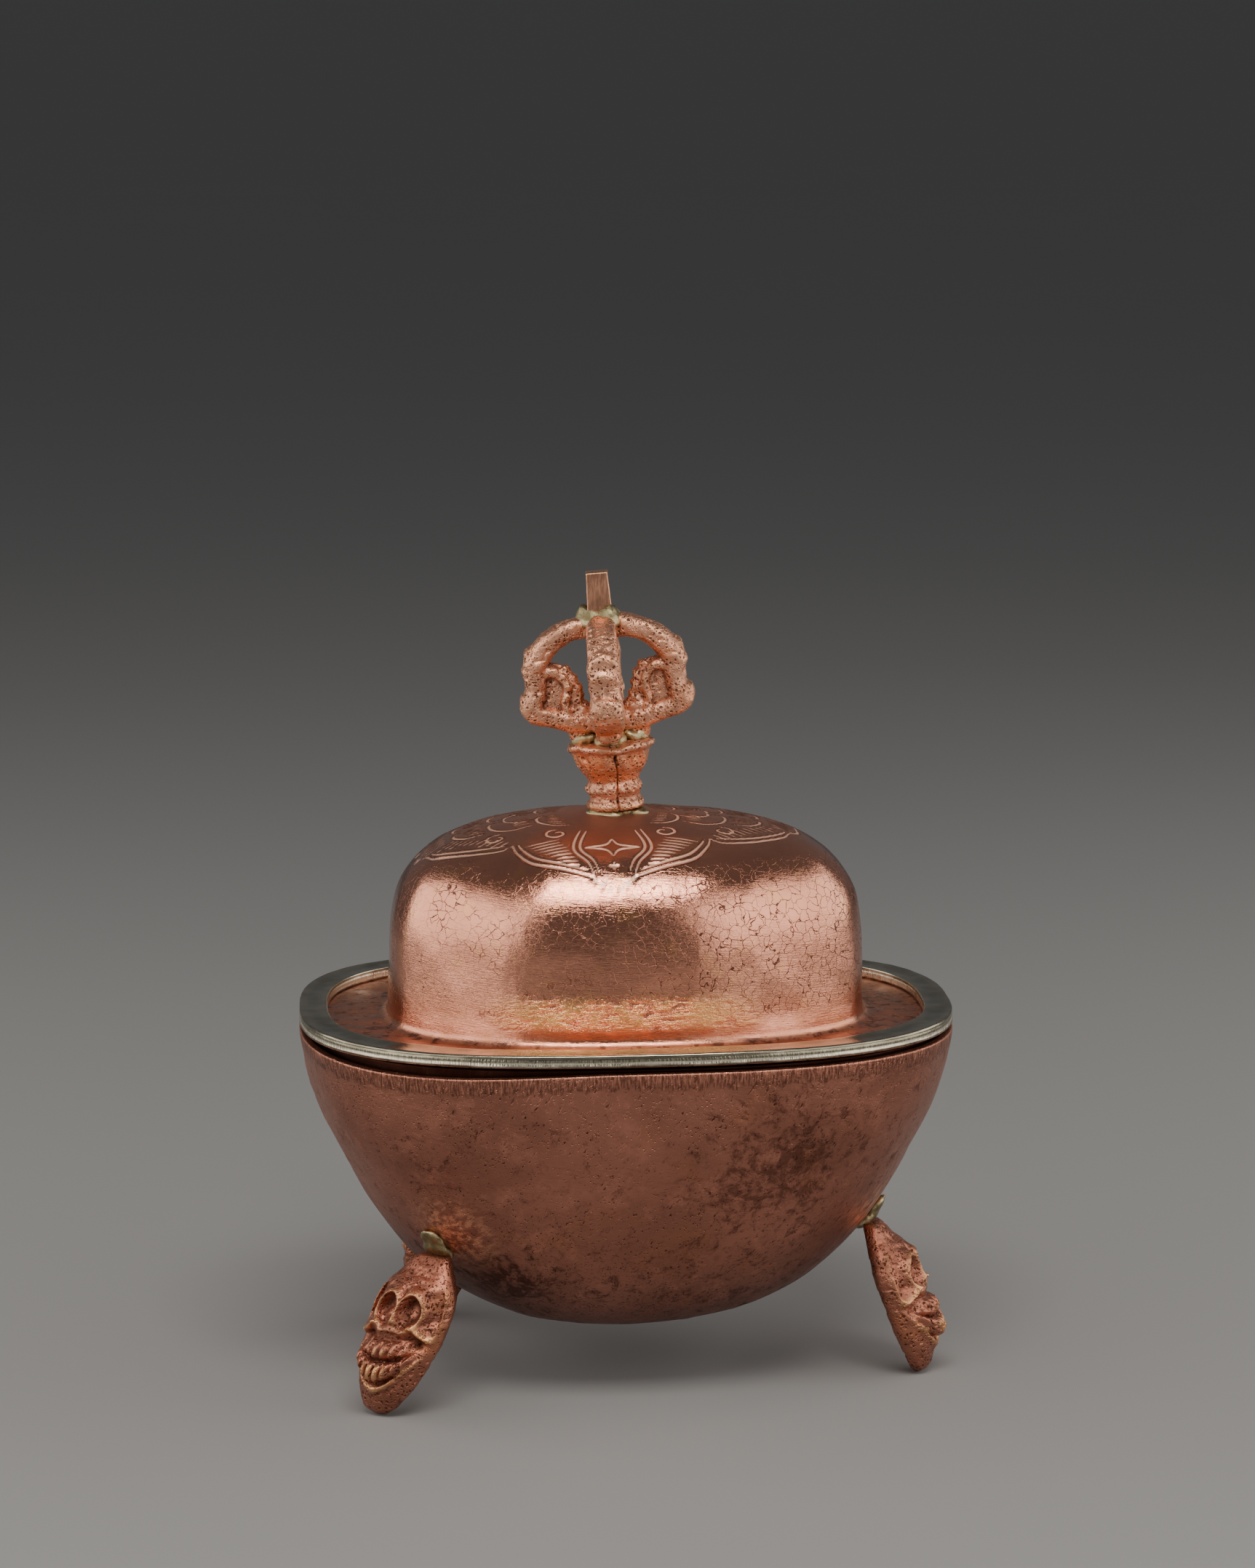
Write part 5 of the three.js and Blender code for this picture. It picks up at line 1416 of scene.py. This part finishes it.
def prong_casting(seed):
    """One cast prong: the arch with its two knuckles, the curling tongue, the jagged crest and the sunk web
    between them, as overlapping skins fused into one casting, then given the rough skin of the mould."""
    crown = props("crown")
    half = crown.prong_width / MM / 2

    def arch_width(share):
        knuckles = 0.08 * bump(share, 0.4, 0.04) + 0.1 * bump(share, 0.63, 0.05)
        knuckles = knuckles - 0.06 * bump(share, 0.54, 0.03)
        ends = 0.18 * bump(share, 0, 0.05) + 0.12 * bump(share, 1, 0.1)
        return half * (0.91 + 0.11 * share + knuckles - ends)

    def arch_thick(share, lift, side):
        bow = 0.035 * (1 - side**2)
        ridges = 0.5 * bump(share, 0.39 - bow, 0.028) + 0.4 * bump(share, 0.465 - bow, 0.026)
        ridges = ridges + 0.55 * bump(share, 0.635 - bow, 0.055) - 0.2 * bump(share, 0.55, 0.03)
        outer = 1.55 + ridges - 0.2 * bump(share, 0.75, 0.04) + 0.2 * bump(share, 0.93, 0.06)
        inner = 1.6 + 0.3 * bump(share, 0.3, 0.12) + 0.3 * bump(share, 0.02, 0.05)
        return np.where(lift < 0, inner, outer)

    def tongue_thick(share, lift, side):
        return 0.74 + 0.2 * bump(share, 0.85, 0.12)

    def crest_thick(share, lift, side):
        return np.where(lift < 0, 0.95 + 0.35 * np.abs(np.sin(6 * math.pi * share)) ** 1.5, 1.25)

    arch = swept(ARCH_ROUTE, 150, 40, arch_width, arch_thick)
    tongue = swept(TONGUE_ROUTE, 70, 24, lambda share: 1.95 - 0.3 * share, tongue_thick)
    crest = swept(CREST_ROUTE, 90, 24, lambda share: 1.15 + 0.35 * share, crest_thick)
    web = blob((7.9, 0, 16.6), (3.4, 1.05, 4.5), 0.7)
    shoulder = blob((4.4, 0, 13.7), (2.6, 1.7, 1.7), 0.8)
    root = blob((4.1, 0, 11.1), (1.7, 1.8, 1.6), 0.75)
    skin = relaxed(fused([arch, tongue, crest, web, shoulder, root], 0.13), 3)
    points = skin[0]
    rough = 1.2 * hills(points, 1.3, seed) + 1.0 * hills(points, 0.6, seed + 3)
    rough = rough + 1.5 * hills(points, 3.0, seed + 5)
    pits = -2.2 * ease(hills(points, 0.62, seed + 7), 0.35, 0.7)
    crumbly = bump(np.hypot(points[:, 0] - 4.3, (points[:, 2] - 17) / 2.2), 0, 1.6)
    rough = rough + pits + crumbly * 3.5 * hills(points, 0.8, seed + 9)
    return moved_out(skin, crown.cast_skin / MM * rough)


def make_prongs():
    """Four prongs from one mould, a quarter turn apart round the bar."""
    finish = finish_of("pitted_cast_copper", cast_copper)
    for number, name in enumerate(PRONGS):
        skin, quarter = prong_casting(2.9 * number), number * math.pi / 2
        add_to_crown(f"crown_prong_{name}", skin, finish, f"prong_{name}", 90, quarter)


def solder_ring(inner, outer, base, tall, seed, quarter_lumps):
    """A lumpy ring: its section is a hill, sin^0.8, from the inner to the outer reach, whose height swells
    and sinks round the ring."""
    turns = round_turns(220)
    share = np.linspace(0, 1, 26)[:, None]
    wave = 1 + 0.16 * np.cos(3 * turns + seed) + 0.1 * np.cos(5 * turns + 2 * seed)
    wave = wave + quarter_lumps * np.cos(4 * turns)
    reach = mix(inner, outer * wave, share)
    top = turned_rings(reach, turns, base + tall * wave * np.sin(math.pi * mix(0.22, 1, share)) ** 0.8)
    under = turned_rings(reach[[-1, 0]], turns, base - 0.5)
    skin = looped_skin(np.concatenate([top, under]))
    return moved_out(skin, 0.12 * hills(skin[0], 1.2, seed) + 0.06 * hills(skin[0], 0.6, seed + 2))


def make_crown_solder():
    """Solder of the crown: a ring on the dome round the socket's foot, a lumpy collar where the prongs meet
    the bar, and a pad under each prong's root that runs out to the socket's lip."""
    finish = finish_of("lumpy_yellow_solder", yellow_solder)
    points, quads, triangles = ring = solder_ring(3.2, 3.8, 0.0, 0.45, 1.0, 0.05)
    on_dome = (points + [-props("crown").offset / MM, 0, props("lid").top / MM], quads, triangles)
    marks = {"relief": relief_of(ring, 12)}
    add_piece("socket_fillet", on_dome, finish, "lid", "finial_base_solder", marks)
    collar = solder_ring(1.4, 3.2, 26.5, 2.1, 2.4, 0.08)
    add_to_crown("crown_fillet", collar, finish, "crown_solder", 12)
    for number, name in enumerate(PRONGS):
        pad = blob((3.4, 0, 10.1), (2.0, 2.2, 1.1), 0.85)
        pad = moved_out(pad, 0.25 * hills(pad[0], 1.2, 3.1 * number) + 0.1 * hills(pad[0], 0.6, number))
        quarter = number * math.pi / 2
        add_to_crown(f"root_fillet_{name}", pad, finish, f"prong_solder_{name}", 8, quarter)


# The stage

PHOTO_HEIGHT = 2156
FOCAL_PIXELS = 6832
SENSOR = 36.0
LIGHT_TONE = (1.0, 0.95, 0.89)
SURROUND = (0.12, 0.12, 0.122, 1.0)
LIGHT_TARGET = (0, 0, 0.07)
AIM_TO_THE_RIGHT = 0.00036


def make_floor():
    """A pale round floor, large enough to pass the camera's horizon."""
    columns = 96
    radius = np.array([0.0005, 0.05, 0.2, 0.6, 1.5, 4.0, 9.0, 30.0])[:, None] / MM
    rings = turned_rings(radius, round_turns(columns), 0.0)
    points = np.concatenate([rings.reshape(-1, 3), [[0, 0, 0]]])
    here = np.arange(columns)
    fan = np.stack([np.full(columns, len(points) - 1), here, (here + 1) % columns], -1)
    quads = grid_quads(len(rings), columns)[:, ::-1]
    floor = bpy.data.objects.new("floor", mesh_of("floor", (points, quads, fan)))
    bpy.context.scene.collection.objects.link(floor)
    floor.data.materials.append(finish_of("pale_matt_floor", matt_floor))


def aim_at(thing, place, target):
    """Stands a light or the camera at a place, turned to a target."""
    turn = (Vector(target) - Vector(place)).to_track_quat("-Z", "Y")
    thing.matrix_world = Matrix.Translation(place) @ turn.to_matrix().to_4x4()


def add_light(name, place, size, strength):
    lamp = bpy.data.lights.new(name, "AREA")
    lamp.shape = "RECTANGLE"
    lamp.size, lamp.size_y = size
    lamp.energy = strength
    lamp.color = LIGHT_TONE
    light = bpy.data.objects.new(name, lamp)
    bpy.context.scene.collection.objects.link(light)
    aim_at(light, place, LIGHT_TARGET)


def make_camera():
    """The camera at the photograph's angle, whose whole height shows as many pixels as the photograph has."""
    stage = props("stage")
    data = bpy.data.cameras.new("camera")
    data.sensor_width = SENSOR
    data.lens = SENSOR * FOCAL_PIXELS / PHOTO_HEIGHT
    data.clip_start, data.clip_end = 0.05, 100.0
    camera = bpy.data.objects.new("camera", data)
    bpy.context.scene.collection.objects.link(camera)
    across, up = stage.azimuth, stage.height
    right = Vector((math.cos(across), math.sin(across), 0))
    back = Vector((math.sin(across) * math.cos(up), -math.cos(across) * math.cos(up), math.sin(up)))
    target = Vector((0, 0, stage.aim)) + right * AIM_TO_THE_RIGHT
    aim_at(camera, target + back * stage.distance, target)
    bpy.context.scene.camera = camera


def make_stage():
    """Floor, three soft lights, a dim even surround, and the camera."""
    stage = props("stage")
    make_floor()
    for name, side in (("left_softbox", -1), ("right_softbox", 1)):
        add_light(name, (0.36 * side, -0.09, 0.187), (0.9, 0.328), stage.side_light)
    add_light("top_softbox", (0.0, -0.4, 0.59), (0.4, 0.22), stage.top_light)
    world = bpy.data.worlds.new("studio")
    bpy.context.scene.world = world
    world.use_nodes = True
    world.node_tree.nodes["Background"].inputs["Color"].default_value = SURROUND
    make_camera()


# Operators and panel


class RITUALBOWL_OT_bowl(bpy.types.Operator):
    """Makes the beaten bowl"""

    bl_idname = "ritual_bowl.bowl"
    bl_label = "Beaten Bowl"

    def execute(self, context):
        make_bowl()
        return {"FINISHED"}


class RITUALBOWL_OT_feet(bpy.types.Operator):
    """Makes the three cast mask feet"""

    bl_idname = "ritual_bowl.feet"
    bl_label = "Mask Feet"

    def execute(self, context):
        make_feet()
        return {"FINISHED"}


class RITUALBOWL_OT_foot_solder(bpy.types.Operator):
    """Makes the solder that holds the feet to the bowl"""

    bl_idname = "ritual_bowl.foot_solder"
    bl_label = "Foot Solder"

    def execute(self, context):
        make_foot_solder()
        return {"FINISHED"}


class RITUALBOWL_OT_lid(bpy.types.Operator):
    """Makes the raised and engraved lid, and the collar under it"""

    bl_idname = "ritual_bowl.lid"
    bl_label = "Raised Lid"

    def execute(self, context):
        make_lid()
        make_collar()
        return {"FINISHED"}


class RITUALBOWL_OT_band(bpy.types.Operator):
    """Makes the white metal band round the lid"""

    bl_idname = "ritual_bowl.band"
    bl_label = "White Metal Band"

    def execute(self, context):
        make_band()
        return {"FINISHED"}


class RITUALBOWL_OT_socket(bpy.types.Operator):
    """Makes the lotus socket and the square bar that stands in it"""

    bl_idname = "ritual_bowl.socket"
    bl_label = "Socket and Bar"

    def execute(self, context):
        make_socket()
        make_bar()
        return {"FINISHED"}


class RITUALBOWL_OT_prongs(bpy.types.Operator):
    """Makes the four cast prongs of the crown"""

    bl_idname = "ritual_bowl.prongs"
    bl_label = "Crown Prongs"

    def execute(self, context):
        make_prongs()
        return {"FINISHED"}


class RITUALBOWL_OT_crown_solder(bpy.types.Operator):
    """Makes the solder at the crown's joints"""

    bl_idname = "ritual_bowl.crown_solder"
    bl_label = "Crown Solder"

    def execute(self, context):
        make_crown_solder()
        return {"FINISHED"}


class RITUALBOWL_OT_stage(bpy.types.Operator):
    """Makes the floor, the lights and the camera"""

    bl_idname = "ritual_bowl.stage"
    bl_label = "Stage"

    def execute(self, context):
        make_stage()
        return {"FINISHED"}


class RITUALBOWL_PT_panel(bpy.types.Panel):
    """Lists the sizes, the colours and the pieces"""

    bl_label = "Ritual Bowl"
    bl_idname = "RITUALBOWL_PT_panel"
    bl_space_type = "VIEW_3D"
    bl_region_type = "UI"
    bl_category = "Ritual Bowl"

    def draw(self, context):
        for name, group in GROUPS.items():
            box = self.layout.box()
            box.label(text=group.__doc__)
            for key in group.__annotations__:
                box.prop(getattr(context.scene, name), key)
        for operator in OPERATORS:
            self.layout.operator(operator.bl_idname)


GROUPS = {
    "ritual_bowl_body": RitualBowlBody,
    "ritual_bowl_feet": RitualBowlFeet,
    "ritual_bowl_lid": RitualBowlLid,
    "ritual_bowl_crown": RitualBowlCrown,
    "ritual_bowl_colours": RitualBowlColours,
    "ritual_bowl_stage": RitualBowlStage,
}
OPERATORS = (
    RITUALBOWL_OT_stage,
    RITUALBOWL_OT_bowl,
    RITUALBOWL_OT_feet,
    RITUALBOWL_OT_foot_solder,
    RITUALBOWL_OT_lid,
    RITUALBOWL_OT_band,
    RITUALBOWL_OT_socket,
    RITUALBOWL_OT_prongs,
    RITUALBOWL_OT_crown_solder,
)
CLASSES = (*GROUPS.values(), *OPERATORS, RITUALBOWL_PT_panel)


def register():
    for cls in CLASSES:
        bpy.utils.register_class(cls)
    for name, group in GROUPS.items():
        setattr(bpy.types.Scene, name, bpy.props.PointerProperty(type=group))


def unregister():
    for name in GROUPS:
        delattr(bpy.types.Scene, name)
    for cls in reversed(CLASSES):
        bpy.utils.unregister_class(cls)


def main():
    register()
    for operator in OPERATORS:
        group, name = operator.bl_idname.split(".")
        getattr(getattr(bpy.ops, group), name)()


if __name__ == "__main__":
    main()
